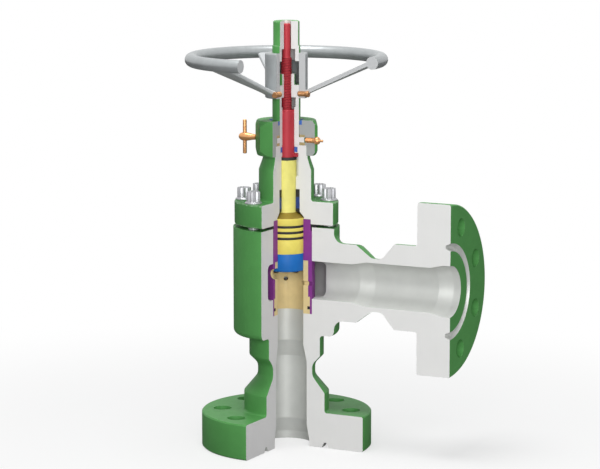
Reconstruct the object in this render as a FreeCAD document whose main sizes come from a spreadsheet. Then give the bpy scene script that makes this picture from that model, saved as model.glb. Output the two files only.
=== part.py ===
"""Angle choke valve with a cage and plug, shown as a cut-away model.

Lengths are millimetres. The bore of the bottom outlet runs up the Z axis from
the origin, in the outlet flange's face, and the inlet flange looks along +X.
The quarter with x above zero and y below zero is cut out of every casing and
seal, so the plug, the stem and the drive can be seen. The valve is modelled
fully open: the handwheel turns clockwise to lower the plug over the ports.
"""
import FreeCAD, Part
import math
import os

import Sketcher

SIZES = {
    # End flanges, the same at the inlet and the outlet
    "flange_diameter": 266.7,
    "flange_thickness": 55.6,
    "flange_edge": 2.0,
    "bolt_circle": 203.2,
    "bolt_hole": 28.6,
    "ring_pitch": 136.5,
    "ring_width": 11.9,
    "ring_floor": 5.2,
    "ring_depth": 7.9,
    "hub_diameter": 133.4,
    "hub_fillet": 4.0,
    "neck_fillet": 15.0,
    "forging_round": 3.0,
    "mouth_diameter": 79.4,
    "mouth_depth": 12.0,
    "mouth_taper": 22.0,
    # Outlet branch below the bowl
    "outlet_hub_length": 31.4,
    "outlet_hub_taper": 26.0,
    "outlet_neck_diameter": 90.0,
    "outlet_neck_length": 18.5,
    "outlet_shoulder_taper": 13.5,
    "outlet_shoulder_diameter": 117.0,
    "outlet_shoulder_length": 33.0,
    "outlet_bore": 71.0,
    "throat_taper": 26.0,
    "throat_length": 50.0,
    # Bowl
    "bowl_diameter": 166.0,
    "bowl_height": 170.0,
    "bowl_edge": 9.0,
    "shoulder_fillet": 5.0,
    "gallery_diameter": 124.0,
    "gallery_height": 57.0,
    "gallery_corner": 9.0,
    # Inlet branch beside the bowl
    "inlet_drop": 83.0,
    "branch_diameter": 122.0,
    "branch_reach": 121.0,
    "branch_taper": 27.0,
    "branch_fillet": 15.0,
    "inlet_neck_diameter": 83.0,
    "inlet_neck_length": 17.0,
    "inlet_hub_taper": 21.0,
    "inlet_hub_length": 38.6,
    "inlet_bore": 69.4,
    "inlet_throat_bore": 60.0,
    "inlet_throat_reach": 114.0,
    "inlet_throat_taper": 24.0,
    # Cage and the sleeve that holds it down
    "seat_drop": 54.0,
    "cage_bore": 59.0,
    "cage_diameter": 75.6,
    "cage_height": 84.0,
    "cage_foot_diameter": 82.0,
    "cage_foot_height": 27.0,
    "large_port": 17.0,
    "large_port_rise": 65.5,
    "small_port": 7.0,
    "small_port_rise": 48.0,
    "port_count": 6,
    "cage_seal_diameter": 73.0,
    "cage_seal_rise": 7.0,
    "cage_seal_height": 5.0,
    "sleeve_diameter": 89.0,
    "sleeve_step_drop": 5.4,
    "sleeve_spigot_diameter": 84.0,
    "sleeve_spigot_height": 7.6,
    # Bonnet
    "gasket_thickness": 4.4,
    "bonnet_flange_thickness": 36.1,
    "bonnet_flange_margin": 14.7,
    "bonnet_flange_edge": 1.5,
    "bonnet_neck_diameter": 86.0,
    "bonnet_neck_length": 48.5,
    "bonnet_neck_fillet": 4.0,
    "bonnet_taper": 18.0,
    "bonnet_shoulder_diameter": 73.6,
    "bonnet_shoulder_length": 4.0,
    "spigot_diameter": 69.6,
    "spigot_length": 16.1,
    # Bonnet bolts
    "bonnet_bolt_gap": 5.8,
    "gasket_margin": 6.55,
    "bonnet_bolt": 16.0,
    "bonnet_bolt_hole": 17.5,
    "bonnet_bolt_depth": 38.0,
    "bolt_flange_diameter": 27.0,
    "bolt_flange_height": 3.5,
    "bolt_head_width": 18.6,
    "bolt_head_height": 15.5,
    # Plug and what is on it
    "plug_diameter": 58.8,
    "plug_rise": 2.0,
    "plug_length": 55.6,
    "plug_taper": 8.0,
    "rod_diameter": 32.0,
    "plug_ring_height": 4.0,
    "plug_ring_depth": 3.2,
    "plug_ring_drop": 11.0,
    "plug_ring_pitch": 9.1,
    "plug_ring_count": 3,
    "tip_length": 27.9,
    "tip_edge": 1.5,
    "tip_screw": 12.0,
    "tip_screw_depth": 24.0,
    "tip_screw_head": 20.0,
    "tip_screw_head_height": 8.0,
    "tip_screw_sink": 4.0,
    # Rod packing
    "packing_diameter": 45.6,
    "packing_gap": 1.0,
    "packing_bottom_height": 5.0,
    "packing_height": 18.0,
    "packing_top_height": 12.0,
    # Stem
    "stem_diameter": 27.0,
    "stem_guide_length": 73.5,
    "stem_thread": 17.2,
    "stem_thread_length": 81.0,
    "stem_tail": 13.0,
    "stem_tail_length": 52.0,
    "stem_edge": 1.0,
    "stem_root": 16.0,
    "stem_root_length": 24.0,
    "stem_ring_height": 4.5,
    "stem_travel": 30.0,
    # Key that stops the stem from turning, and the seal above it
    "key_width": 6.0,
    "key_height": 5.0,
    "key_bite": 1.5,
    "key_length": 8.3,
    "key_gap": 2.0,
    "stem_seal_diameter": 38.0,
    "stem_seal_height": 8.0,
    "stem_seal_lip": 3.1,
    # Bonnet nut, its washers and its wiper
    "washer_diameter": 64.0,
    "washer_bore": 46.0,
    "lower_washer_height": 4.5,
    "upper_washer_height": 4.0,
    "nut_width": 90.0,
    "nut_turn": 5.9,
    "nut_web": 15.4,
    "nut_bevel_height": 9.0,
    "nut_bevel_width": 6.6,
    "nut_base_gap": 0.5,
    "wiper_diameter": 54.0,
    "wiper_height": 6.0,
    "wiper_lip": 1.0,
    # Drive bushing
    "bushing_flange_diameter": 62.6,
    "bushing_flange_height": 8.0,
    "bushing_diameter": 43.6,
    "bushing_length": 88.8,
    "bushing_top_diameter": 27.4,
    "bushing_top_length": 16.8,
    "bushing_thread_length": 36.2,
    "bushing_relief_bore": 32.0,
    "bushing_relief_length": 15.0,
    # Handwheel
    "wheel_hub_diameter": 66.0,
    "wheel_hub_height": 70.0,
    "wheel_hub_edge": 2.0,
    "wheel_seat": 20.4,
    "rim_diameter": 294.0,
    "rim_section": 20.0,
    "rim_rise": 59.3,
    "spoke_count": 3,
    "spoke_turn": 2.0,
    "spoke_root_rise": 7.2,
    "spoke_root_width": 28.0,
    "spoke_root_height": 6.5,
    "spoke_end_rise": 61.2,
    "spoke_end_width": 76.0,
    "spoke_end_height": 6.8,
    "wheel_screw": 8.4,
    "wheel_screw_rise": 7.0,
    "wheel_screw_bite": 1.0,
    "wheel_screw_head": 9.6,
    "wheel_screw_head_height": 4.5,
    "wheel_screw_stand": 2.0,
    "wheel_screw_recess": 12.0,
    # Cap over the stem's end
    "cap_diameter": 40.8,
    "cap_height": 38.0,
    "cap_skirt_depth": 13.0,
    "cap_collar_height": 11.0,
    "cap_bore": 16.0,
    "cap_counterbore": 30.2,
    "cap_counterbore_rise": 5.6,
    "cap_edge": 1.5,
    # Locking screw with its cross bar, and the grease fitting
    "lock_thread": 8.0,
    "lock_pad_diameter": 6.4,
    "lock_pad_length": 3.2,
    "lock_pin": 2.8,
    "lock_pin_length": 2.5,
    "lock_pad_gap": 2.4,
    "lock_thread_length": 17.0,
    "lock_neck": 6.4,
    "lock_head": 13.5,
    "lock_head_taper": 12.0,
    "lock_head_length": 15.0,
    "lock_head_crown": 3.0,
    "lock_bar": 6.2,
    "lock_bar_length": 53.5,
    "lock_bar_edge": 0.8,
    "fitting_thread": 7.8,
    "fitting_root_gap": 2.0,
    "fitting_stand": 4.6,
    "fitting_ball": 12.0,
    "fitting_ball_length": 7.5,
    "fitting_nipple": 4.4,
    "fitting_nipple_length": 6.5,
    "fitting_tip": 2.6,
    # Clearances
    "running_clearance": 0.1,
    "seat_clearance": 0.1,
    "seal_clearance": 0.3,
    "guide_clearance": 0.2,
    "turning_clearance": 0.5,
    "chamber_clearance": 0.8,
    "full_open_gap": 1.0,
}

TOUCH = 0.01


class Size:
    """A number in millimetres together with the sheet formula that gives it."""

    def __init__(self, number, formula):
        self.number = number
        self.formula = formula

    @staticmethod
    def wrap(item):
        if isinstance(item, Size):
            return item
        return Size(float(item), f"{float(item):.6f}")

    def __add__(self, other):
        other = Size.wrap(other)
        return Size(self.number + other.number, f"({self.formula} + {other.formula})")

    def __sub__(self, other):
        other = Size.wrap(other)
        return Size(self.number - other.number, f"({self.formula} - {other.formula})")

    def __mul__(self, other):
        other = Size.wrap(other)
        return Size(self.number * other.number, f"({self.formula} * {other.formula})")

    def __truediv__(self, other):
        other = Size.wrap(other)
        return Size(self.number / other.number, f"({self.formula} / {other.formula})")

    def __radd__(self, other):
        return Size.wrap(other) + self

    def __rsub__(self, other):
        return Size.wrap(other) - self

    def __rmul__(self, other):
        return Size.wrap(other) * self

    def __neg__(self):
        return Size.wrap(0) - self


class Sheet:
    """The spreadsheet of driving sizes, read as attributes."""

    def __init__(self, document, sizes):
        self.page = document.addObject("Spreadsheet::Sheet", "Sizes")
        for row, (alias, number) in enumerate(sizes.items(), 1):
            self.page.set(f"A{row}", alias)
            self.page.set(f"B{row}", str(number))
            self.page.setAlias(f"B{row}", alias)
            setattr(self, alias, Size(number, f"Sizes.{alias}"))


doc = FreeCAD.newDocument("choke_valve")
d = Sheet(doc, SIZES)
doc.recompute()

# Heights above the outlet flange's face
bowl_bottom = (d.flange_thickness + d.outlet_hub_length + d.outlet_hub_taper
               + d.outlet_neck_length + d.outlet_shoulder_taper + d.outlet_shoulder_length)
bowl_top = bowl_bottom + d.bowl_height
inlet_axis = bowl_top - d.inlet_drop
gallery_floor = inlet_axis - d.gallery_height / 2
gallery_roof = inlet_axis + d.gallery_height / 2
seat_level = inlet_axis - d.seat_drop
cage_top = seat_level + d.cage_height
sleeve_step = bowl_top - d.sleeve_step_drop
bonnet_base = bowl_top + d.gasket_thickness
sleeve_top = bonnet_base + d.sleeve_spigot_height
bonnet_flange_top = bonnet_base + d.bonnet_flange_thickness
bonnet_neck_top = bonnet_flange_top + d.bonnet_neck_length
bonnet_shoulder = bonnet_neck_top + d.bonnet_taper + d.bonnet_shoulder_length
bonnet_top = bonnet_shoulder + d.spigot_length

# Heights of the plug, its packing and the stem, with the valve fully open
plug_shoulder = sleeve_top + d.plug_rise
plug_bottom = plug_shoulder - d.plug_length
tip_bottom = plug_bottom - d.tip_length
cone_top = plug_shoulder + d.plug_taper
packing_floor = cone_top + d.packing_gap
packing_middle = packing_floor + d.packing_bottom_height
packing_cover = packing_middle + d.packing_height
packing_roof = packing_cover + d.packing_top_height
stem_seal_floor = bonnet_top - d.stem_seal_lip - d.stem_seal_height
key_floor = stem_seal_floor - d.key_gap - d.key_height
stem_base = key_floor - d.full_open_gap
rod_top = stem_base - d.stem_ring_height
stem_guide_top = stem_base + d.stem_guide_length
stem_thread_top = stem_guide_top + d.stem_thread_length
stem_top = stem_thread_top + d.stem_tail_length

# Heights of the nut, the drive and the cap
bushing_base = bonnet_top + d.lower_washer_height
bushing_flange_top = bushing_base + d.bushing_flange_height
upper_washer_top = bushing_flange_top + d.upper_washer_height
nut_base = bonnet_shoulder + d.nut_base_gap
wiper_floor = upper_washer_top + d.nut_web
nut_top = wiper_floor + d.wiper_height + d.wiper_lip
drive_level = bushing_base + d.bushing_flange_height / 2
bushing_shoulder = bushing_base + d.bushing_length
bushing_top = bushing_shoulder + d.bushing_top_length
bushing_thread_base = bushing_top - d.bushing_thread_length
wheel_base = bushing_shoulder - d.wheel_seat
wheel_hub_top = wheel_base + d.wheel_hub_height
wheel_screw_level = wheel_base + d.wheel_screw_rise
rim_level = wheel_base + d.rim_rise
cap_base = wheel_hub_top - d.cap_skirt_depth
cap_collar_top = wheel_hub_top + d.cap_collar_height
cap_top = cap_collar_top + d.cap_height

# Distances from the bowl's axis to the stations of the inlet branch
inlet_taper_end = d.branch_reach + d.branch_taper
inlet_neck_end = inlet_taper_end + d.inlet_neck_length
inlet_hub_start = inlet_neck_end + d.inlet_hub_taper
inlet_flange_back = inlet_hub_start + d.inlet_hub_length
inlet_face = inlet_flange_back + d.flange_thickness

# Distances from the stem's axis: the key, the wheel's screws and the locking screw
key_root = d.stem_diameter / 2 - d.key_bite
key_end = key_root + d.key_length
screw_root = d.bushing_diameter / 2 - d.wheel_screw_bite
screw_head_seat = d.wheel_hub_diameter / 2 + d.wheel_screw_stand
pad_face = d.bushing_flange_diameter / 2 + d.lock_pad_gap
pad_back = pad_face + d.lock_pad_length
lock_front = pad_back + d.running_clearance
lock_neck_end = lock_front + d.lock_thread_length
lock_head_start = lock_neck_end + d.lock_head_taper
lock_head_end = lock_head_start + d.lock_head_length
lock_bar_place = lock_head_start + d.lock_head_length / 2

# The bonnet's bolt circle stands clear of its neck: the flange and the gasket follow it
bonnet_bolt_radius = (d.bonnet_neck_diameter / 2 + d.bonnet_neck_fillet + d.bonnet_bolt_gap
                      + d.bolt_flange_diameter / 2)
bonnet_flange_radius = bonnet_bolt_radius + d.bonnet_flange_margin
gasket_radius = bonnet_bolt_radius - d.bonnet_bolt_hole / 2 - d.gasket_margin

# The nut's corner radius, and a length that reaches past every piece
nut_corner = d.nut_width / math.sqrt(3)
beyond = inlet_face + d.flange_diameter


def origin_item(body, role):
    """Finds one of a body's own origin planes or axes."""
    return next(item for item in body.Origin.OriginFeatures if item.Role == role)


def new_body(label):
    """Starts a sub-part whose label names its file."""
    body = doc.addObject("PartDesign::Body", label)
    body.Label = label
    body.AllowCompound = True
    body.Placement = FreeCAD.Placement()
    return body


def new_sketch(body, name, plane, lift=None, slide=None):
    """Adds a sketch on an origin plane: lifted along its normal, slid along its second axis."""
    sketch = body.newObject("Sketcher::SketchObject", name)
    sketch.AttachmentSupport = [(origin_item(body, plane), "")]
    sketch.MapMode = "FlatFace"
    if lift is not None:
        sketch.setExpression(".AttachmentOffset.Base.z", lift.formula)
    if slide is not None:
        sketch.setExpression(".AttachmentOffset.Base.y", slide.formula)
    return sketch


def bind(sketch, kind, *where, size):
    """Adds a dimension and ties it to the sheet."""
    number = sketch.addConstraint(Sketcher.Constraint(kind, *where, size.number))
    sketch.setExpression(f"Constraints[{number}]", size.formula)


def pin_point(sketch, line, end, across, up):
    """Places one sketch point by its two coordinates."""
    for size, kind, axis in ((across, "DistanceX", -2), (up, "DistanceY", -1)):
        size = Size.wrap(size)
        if size.number == 0:
            sketch.addConstraint(Sketcher.Constraint("PointOnObject", line, end, axis))
        else:
            bind(sketch, kind, -1, 1, line, end, size=size)


def draw_outline(sketch, corners):
    """Draws a closed outline through corners given as sizes."""
    places = [FreeCAD.Vector(Size.wrap(x).number, Size.wrap(y).number, 0) for x, y in corners]
    first = sketch.GeometryCount
    count = len(corners)
    for index in range(count):
        sketch.addGeometry(Part.LineSegment(places[index], places[(index + 1) % count]), False)
    for index in range(count):
        following = first + (index + 1) % count
        sketch.addConstraint(Sketcher.Constraint("Coincident", first + index, 2, following, 1))
    for index, (across, up) in enumerate(corners):
        pin_point(sketch, first + index, 1, across, up)


def draw_circle(sketch, across, up, diameter):
    """Draws a circle by its centre and diameter."""
    centre = FreeCAD.Vector(Size.wrap(across).number, Size.wrap(up).number, 0)
    circle = sketch.addGeometry(Part.Circle(centre, FreeCAD.Vector(0, 0, 1), diameter.number / 2), False)
    pin_point(sketch, circle, 3, across, up)
    bind(sketch, "Diameter", circle, size=diameter)


def polygon(sides, flats, turn):
    """Corners of a regular polygon by its width across flats, turned by some degrees."""
    radius = flats / (2 * math.cos(math.pi / sides))
    angles = [math.radians(turn + 360 * corner / sides) for corner in range(sides)]
    return [(radius * math.cos(angle), radius * math.sin(angle)) for angle in angles]


def turn_about(body, kind, name, sketch, axis):
    """Turns a sketch once round one of its own axes."""
    feature = body.newObject(kind, name)
    feature.Profile = sketch
    feature.ReferenceAxis = (sketch, [axis])
    feature.Angle = 360
    return feature


def add_turned(body, name, corners):
    """Adds material turned about the stem's axis: corners are radius and height."""
    sketch = new_sketch(body, name + "_outline", "YZ_Plane")
    draw_outline(sketch, corners)
    return turn_about(body, "PartDesign::Revolution", name, sketch, "V_Axis")


def cut_turned(body, name, corners):
    """Cuts material turned about the stem's axis: corners are radius and height."""
    sketch = new_sketch(body, name + "_outline", "YZ_Plane")
    draw_outline(sketch, corners)
    return turn_about(body, "PartDesign::Groove", name, sketch, "V_Axis")


def inlet_turned(body, kind, name, corners, level=inlet_axis):
    """Adds or cuts material turned about a line along X: corners are distance and radius."""
    sketch = new_sketch(body, name + "_outline", "XY_Plane", lift=level)
    draw_outline(sketch, corners)
    return turn_about(body, kind, name, sketch, "H_Axis")


def cut_along(body, name, sketch, length, forward=True):
    """Cuts a sketch along its normal, or against it."""
    pocket = body.newObject("PartDesign::Pocket", name)
    pocket.Profile = sketch
    pocket.Type = "Length"
    pocket.setExpression("Length", length.formula)
    pocket.Reversed = forward
    return pocket


def pad_along(body, name, sketch, length):
    """Pads a sketch along its normal."""
    pad = body.newObject("PartDesign::Pad", name)
    pad.Profile = sketch
    pad.Type = "Length"
    pad.setExpression("Length", length.formula)
    return pad


def pattern_round(body, name, features, axis, count, angle=360.0):
    """Repeats features round an axis and makes the pattern the body's tip."""
    pattern = body.newObject("PartDesign::PolarPattern", name)
    pattern.Originals = features
    pattern.Axis = axis
    pattern.Angle = angle
    pattern.Occurrences = count
    body.Tip = pattern
    return pattern


def round_edges(body, name, base, edges, radius):
    """Rounds the named edges of a feature."""
    if not edges:
        raise RuntimeError(f"{body.Label}: no edge found for {name}")
    fillet = body.newObject("PartDesign::Fillet", name)
    fillet.Base = (base, edges)
    fillet.setExpression("Radius", radius.formula)
    return fillet


def bevel_edges(body, name, base, edges, size):
    """Bevels the named edges of a feature."""
    if not edges:
        raise RuntimeError(f"{body.Label}: no edge found for {name}")
    chamfer = body.newObject("PartDesign::Chamfer", name)
    chamfer.Base = (base, edges)
    chamfer.setExpression("Size", size.formula)
    return chamfer


def ring_edges(feature, rings, axis="z"):
    """Names the round edges with a given radius at a given place along an axis."""
    doc.recompute()
    names = []
    for number, edge in enumerate(feature.Shape.Edges, 1):
        if not isinstance(edge.Curve, Part.Circle):
            continue
        place = getattr(edge.Curve.Center, axis)
        for radius, level in rings:
            if abs(edge.Curve.Radius - radius.number) < TOUCH and abs(place - level.number) < TOUCH:
                names.append(f"Edge{number}")
    return names


def branch_edges(feature):
    """Names the edges where the inlet branch leaves the bowl."""
    doc.recompute()
    names = []
    for number, edge in enumerate(feature.Shape.Edges, 1):
        point = edge.valueAt((edge.FirstParameter + edge.LastParameter) / 2)
        from_bowl = math.hypot(point.x, point.y) - d.bowl_diameter.number / 2
        from_branch = math.hypot(point.y, point.z - inlet_axis.number) - d.branch_diameter.number / 2
        if abs(from_bowl) < TOUCH and abs(from_branch) < TOUCH and point.x > 0:
            names.append(f"Edge{number}")
    return names


def cut_section(body):
    """Takes the viewing quarter out of a finished piece."""
    sketch = new_sketch(body, "section_quarter", "XY_Plane")
    draw_outline(sketch, [(0, 0), (0, -beyond), (beyond, -beyond), (beyond, 0)])
    pocket = body.newObject("PartDesign::Pocket", "section")
    pocket.Profile = sketch
    pocket.Type = "Length"
    pocket.setExpression("Length", (beyond * 4).formula)
    pocket.SideType = "Symmetric"
    return pocket


def sectioned_ring(label, inner, outer, bottom, top):
    """Makes a plain ring with the viewing quarter taken out."""
    body = new_body(label)
    add_turned(body, "ring", [(inner, bottom), (outer, bottom), (outer, top), (inner, top)])
    cut_section(body)
    return body


def flange_holes(body, name, plane, lift, slide):
    """Drills one bolt hole beside the flange's axis and repeats it round the bolt circle."""
    holes = 8
    half_step = math.pi / holes
    sketch = new_sketch(body, name + "_centre", plane, lift=lift, slide=slide)
    radius = d.bolt_circle / 2
    draw_circle(sketch, radius * math.cos(half_step), radius * math.sin(half_step), d.bolt_hole)
    hole = cut_along(body, name, sketch, d.flange_thickness)
    return pattern_round(body, name + "_round", [hole], (sketch, ["N_Axis"]), holes)


def make_valve_body():
    """Forged bowl with a flanged outlet below and a flanged inlet at its side."""
    body = new_body("valve_body")
    flange = d.flange_diameter / 2
    hub = d.hub_diameter / 2
    neck = d.outlet_neck_diameter / 2
    shoulder = d.outlet_shoulder_diameter / 2
    bowl = d.bowl_diameter / 2
    hub_top = d.flange_thickness + d.outlet_hub_length
    neck_base = hub_top + d.outlet_hub_taper
    neck_top = neck_base + d.outlet_neck_length
    shoulder_base = neck_top + d.outlet_shoulder_taper
    upright = add_turned(body, "bowl_and_outlet", [
        (0, 0), (flange - d.flange_edge, 0), (flange, d.flange_edge),
        (flange, d.flange_thickness - d.flange_edge), (flange - d.flange_edge, d.flange_thickness),
        (hub, d.flange_thickness), (hub, hub_top), (neck, neck_base), (neck, neck_top),
        (shoulder, shoulder_base), (shoulder, bowl_bottom), (bowl, bowl_bottom),
        (bowl, bowl_top), (0, bowl_top)])
    rounded = round_edges(body, "bowl_edge_round", upright,
                          ring_edges(upright, [(bowl, bowl_bottom)]), d.bowl_edge)
    rounded = round_edges(body, "shoulder_round", rounded,
                          ring_edges(rounded, [(shoulder, bowl_bottom)]), d.shoulder_fillet)
    rounded = round_edges(body, "outlet_neck_round", rounded,
                          ring_edges(rounded, [(neck, neck_base), (neck, neck_top)]), d.neck_fillet)
    rounded = round_edges(body, "outlet_forging_round", rounded,
                          ring_edges(rounded, [(hub, hub_top), (shoulder, shoulder_base)]),
                          d.forging_round)
    round_edges(body, "outlet_hub_round", rounded,
                ring_edges(rounded, [(hub, d.flange_thickness)]), d.hub_fillet)
    branch = d.branch_diameter / 2
    inlet_neck = d.inlet_neck_diameter / 2
    branched = inlet_turned(body, "PartDesign::Revolution", "inlet_branch", [
        (0, 0), (0, branch), (d.branch_reach, branch), (inlet_taper_end, inlet_neck),
        (inlet_neck_end, inlet_neck), (inlet_hub_start, hub), (inlet_flange_back, hub),
        (inlet_flange_back, flange - d.flange_edge), (inlet_flange_back + d.flange_edge, flange),
        (inlet_face - d.flange_edge, flange), (inlet_face, flange - d.flange_edge), (inlet_face, 0)])
    rounded = round_edges(body, "inlet_neck_round", branched,
                          ring_edges(branched, [(inlet_neck, inlet_taper_end),
                                                (inlet_neck, inlet_neck_end)], "x"), d.neck_fillet)
    rounded = round_edges(body, "inlet_forging_round", rounded,
                          ring_edges(rounded, [(branch, d.branch_reach), (hub, inlet_hub_start)],
                                     "x"), d.forging_round)
    round_edges(body, "inlet_hub_round", rounded,
                ring_edges(rounded, [(hub, inlet_flange_back)], "x"), d.hub_fillet)
    forged = cut_section(body)
    round_edges(body, "branch_round", forged, branch_edges(forged), d.branch_fillet)

    mouth = d.mouth_diameter / 2
    pipe = d.outlet_bore / 2
    throat = d.cage_bore / 2
    recess = d.sleeve_diameter / 2 + d.seat_clearance
    gallery = d.gallery_diameter / 2
    throat_base = seat_level - d.throat_length
    bored = cut_turned(body, "vertical_bore", [
        (0, 0), (mouth, 0), (mouth, d.mouth_depth), (pipe, d.mouth_depth + d.mouth_taper),
        (pipe, throat_base - d.throat_taper), (throat, throat_base), (throat, seat_level),
        (recess, seat_level), (recess, gallery_floor), (gallery, gallery_floor),
        (gallery, gallery_roof), (recess, gallery_roof), (recess, bowl_top), (0, bowl_top)])
    round_edges(body, "gallery_round", bored,
                ring_edges(bored, [(gallery, gallery_floor), (gallery, gallery_roof)]),
                d.gallery_corner)
    inlet_pipe = d.inlet_bore / 2
    inlet_throat = d.inlet_throat_bore / 2
    inlet_throat_end = d.inlet_throat_reach + d.inlet_throat_taper
    inlet_turned(body, "PartDesign::Groove", "inlet_bore_cut", [
        (0, 0), (0, inlet_throat), (d.inlet_throat_reach, inlet_throat),
        (inlet_throat_end, inlet_pipe), (inlet_face - d.mouth_depth - d.mouth_taper, inlet_pipe),
        (inlet_face - d.mouth_depth, mouth), (inlet_face, mouth), (inlet_face, 0)])

    pitch = d.ring_pitch / 2
    cut_turned(body, "outlet_ring_groove", [
        (pitch - d.ring_width / 2, 0), (pitch + d.ring_width / 2, 0),
        (pitch + d.ring_floor / 2, d.ring_depth), (pitch - d.ring_floor / 2, d.ring_depth)])
    inlet_turned(body, "PartDesign::Groove", "inlet_ring_groove", [
        (inlet_face, pitch - d.ring_width / 2), (inlet_face, pitch + d.ring_width / 2),
        (inlet_face - d.ring_depth, pitch + d.ring_floor / 2),
        (inlet_face - d.ring_depth, pitch - d.ring_floor / 2)])

    flange_holes(body, "outlet_bolt_hole", "XY_Plane", None, None)
    flange_holes(body, "inlet_bolt_hole", "YZ_Plane", inlet_flange_back, inlet_axis)
    seat = new_sketch(body, "bonnet_bolt_seat_centre", "XY_Plane",
                      lift=bowl_top - d.bonnet_bolt_depth)
    bolt_place(seat, d.bonnet_bolt)
    tapped = cut_along(body, "bonnet_bolt_seat", seat, d.bonnet_bolt_depth)
    pattern_round(body, "bonnet_bolt_seats", [tapped], (seat, ["N_Axis"]), 8)
    return body


def bolt_place(sketch, diameter):
    """Draws the circle of the first bonnet bolt."""
    half_step = math.pi / 8
    draw_circle(sketch, bonnet_bolt_radius * math.cos(half_step),
                bonnet_bolt_radius * math.sin(half_step), diameter)


def make_cage():
    """Ported cage: a row of large ports above a row of small ones, staggered."""
    body = new_body("flow_cage")
    bore = d.cage_bore / 2
    wall = d.cage_diameter / 2
    foot = d.cage_foot_diameter / 2
    foot_top = seat_level + d.cage_foot_height
    seal_bottom = seat_level + d.cage_seal_rise
    seal_top = seal_bottom + d.cage_seal_height
    groove = d.cage_seal_diameter / 2
    add_turned(body, "wall", [
        (bore, seat_level), (foot, seat_level), (foot, seal_bottom), (groove, seal_bottom),
        (groove, seal_top), (foot, seal_top), (foot, foot_top), (wall, foot_top),
        (wall, cage_top), (bore, cage_top)])
    cut_ports(body)
    cut_section(body)
    return body


def cut_ports(body):
    """Cuts both rows of ports: the small row looks along X, the large row along Y."""
    rows = (("small", "YZ_Plane", d.small_port_rise, d.small_port),
            ("large", "XZ_Plane", d.large_port_rise, d.large_port))
    for name, plane, rise, diameter in rows:
        sketch = new_sketch(body, name + "_port_centre", plane)
        draw_circle(sketch, 0, seat_level + rise, diameter)
        port = cut_along(body, name + "_port", sketch, d.gallery_diameter / 2)
        axis = (origin_item(body, "Z_Axis"), [""])
        pattern_round(body, name + "_ports", [port], axis, SIZES["port_count"])


def make_sleeve():
    """Sleeve that clamps the cage on its seat and guides the plug."""
    body = new_body("cage_sleeve")
    outer = d.sleeve_diameter / 2
    spigot = d.sleeve_spigot_diameter / 2
    guide = d.plug_diameter / 2 + d.running_clearance
    cage = d.cage_diameter / 2 + d.seat_clearance
    foot = d.cage_foot_diameter / 2 + d.seat_clearance
    foot_top = seat_level + d.cage_foot_height + d.seat_clearance
    add_turned(body, "wall", [
        (foot, seat_level), (outer, seat_level), (outer, sleeve_step), (spigot, sleeve_step),
        (spigot, sleeve_top), (guide, sleeve_top), (guide, cage_top + d.seat_clearance),
        (cage, cage_top + d.seat_clearance), (cage, foot_top), (foot, foot_top)])
    cut_ports(body)
    cut_section(body)
    return body


def make_cage_seal():
    """Ring in the cage foot's groove."""
    inner = d.cage_seal_diameter / 2 + d.running_clearance
    outer = d.cage_foot_diameter / 2
    bottom = seat_level + d.cage_seal_rise + d.running_clearance
    top = bottom + d.cage_seal_height - d.running_clearance * 2
    return sectioned_ring("cage_seal", inner, outer, bottom, top)


def make_bonnet():
    """Bonnet with the packing box, the rod's guide and the nut's spigot."""
    body = new_body("bonnet")
    flange = bonnet_flange_radius
    neck = d.bonnet_neck_diameter / 2
    shoulder = d.bonnet_shoulder_diameter / 2
    spigot = d.spigot_diameter / 2
    sleeve = d.sleeve_spigot_diameter / 2 + d.seat_clearance
    chamber = d.plug_diameter / 2 + d.chamber_clearance
    packing = d.packing_diameter / 2
    rod = d.rod_diameter / 2 + d.guide_clearance
    stem = d.stem_diameter / 2 + d.guide_clearance
    seal = d.stem_seal_diameter / 2
    seal_top = stem_seal_floor + d.stem_seal_height
    chamber_roof = plug_shoulder + d.full_open_gap
    edge = d.bonnet_flange_edge
    shell = add_turned(body, "shell", [
        (sleeve, bonnet_base), (flange - edge, bonnet_base), (flange, bonnet_base + edge),
        (flange, bonnet_flange_top - edge), (flange - edge, bonnet_flange_top),
        (neck, bonnet_flange_top), (neck, bonnet_neck_top),
        (shoulder, bonnet_neck_top + d.bonnet_taper), (shoulder, bonnet_shoulder),
        (spigot, bonnet_shoulder), (spigot, bonnet_top), (stem, bonnet_top), (stem, seal_top),
        (seal, seal_top), (seal, stem_seal_floor), (stem, stem_seal_floor), (stem, key_floor),
        (rod, key_floor), (rod, packing_roof), (packing, packing_roof), (packing, packing_floor),
        (chamber, chamber_roof), (chamber, sleeve_top), (sleeve, sleeve_top)])
    round_edges(body, "neck_round", shell, ring_edges(shell, [(neck, bonnet_flange_top)]),
                d.bonnet_neck_fillet)
    holes = new_sketch(body, "bolt_hole_centre", "XY_Plane", lift=bonnet_base)
    bolt_place(holes, d.bonnet_bolt_hole)
    hole = cut_along(body, "bolt_hole", holes, d.bonnet_flange_thickness)
    pattern_round(body, "bolt_holes", [hole], (holes, ["N_Axis"]), 8)
    keyway_floor = key_floor - d.stem_travel - d.full_open_gap
    keyway = new_sketch(body, "keyway_outline", "XY_Plane", lift=keyway_floor)
    half = d.key_width / 2 + d.running_clearance
    end = key_end + d.guide_clearance
    draw_outline(keyway, [(stem / 2, -half), (end, -half), (end, half), (stem / 2, half)])
    cut_along(body, "keyway", keyway,
              key_floor + d.key_height + d.turning_clearance - keyway_floor)
    cut_section(body)
    return body


def make_key():
    """Key set in the stem: it slides in the bonnet's keyway, so the stem can't turn."""
    body = new_body("anti_rotation_key")
    sketch = new_sketch(body, "outline", "XY_Plane", lift=key_floor)
    half = d.key_width / 2
    draw_outline(sketch, [(key_root, -half), (key_end, -half), (key_end, half),
                          (key_root, half)])
    pad_along(body, "block", sketch, d.key_height)
    return body


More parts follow.
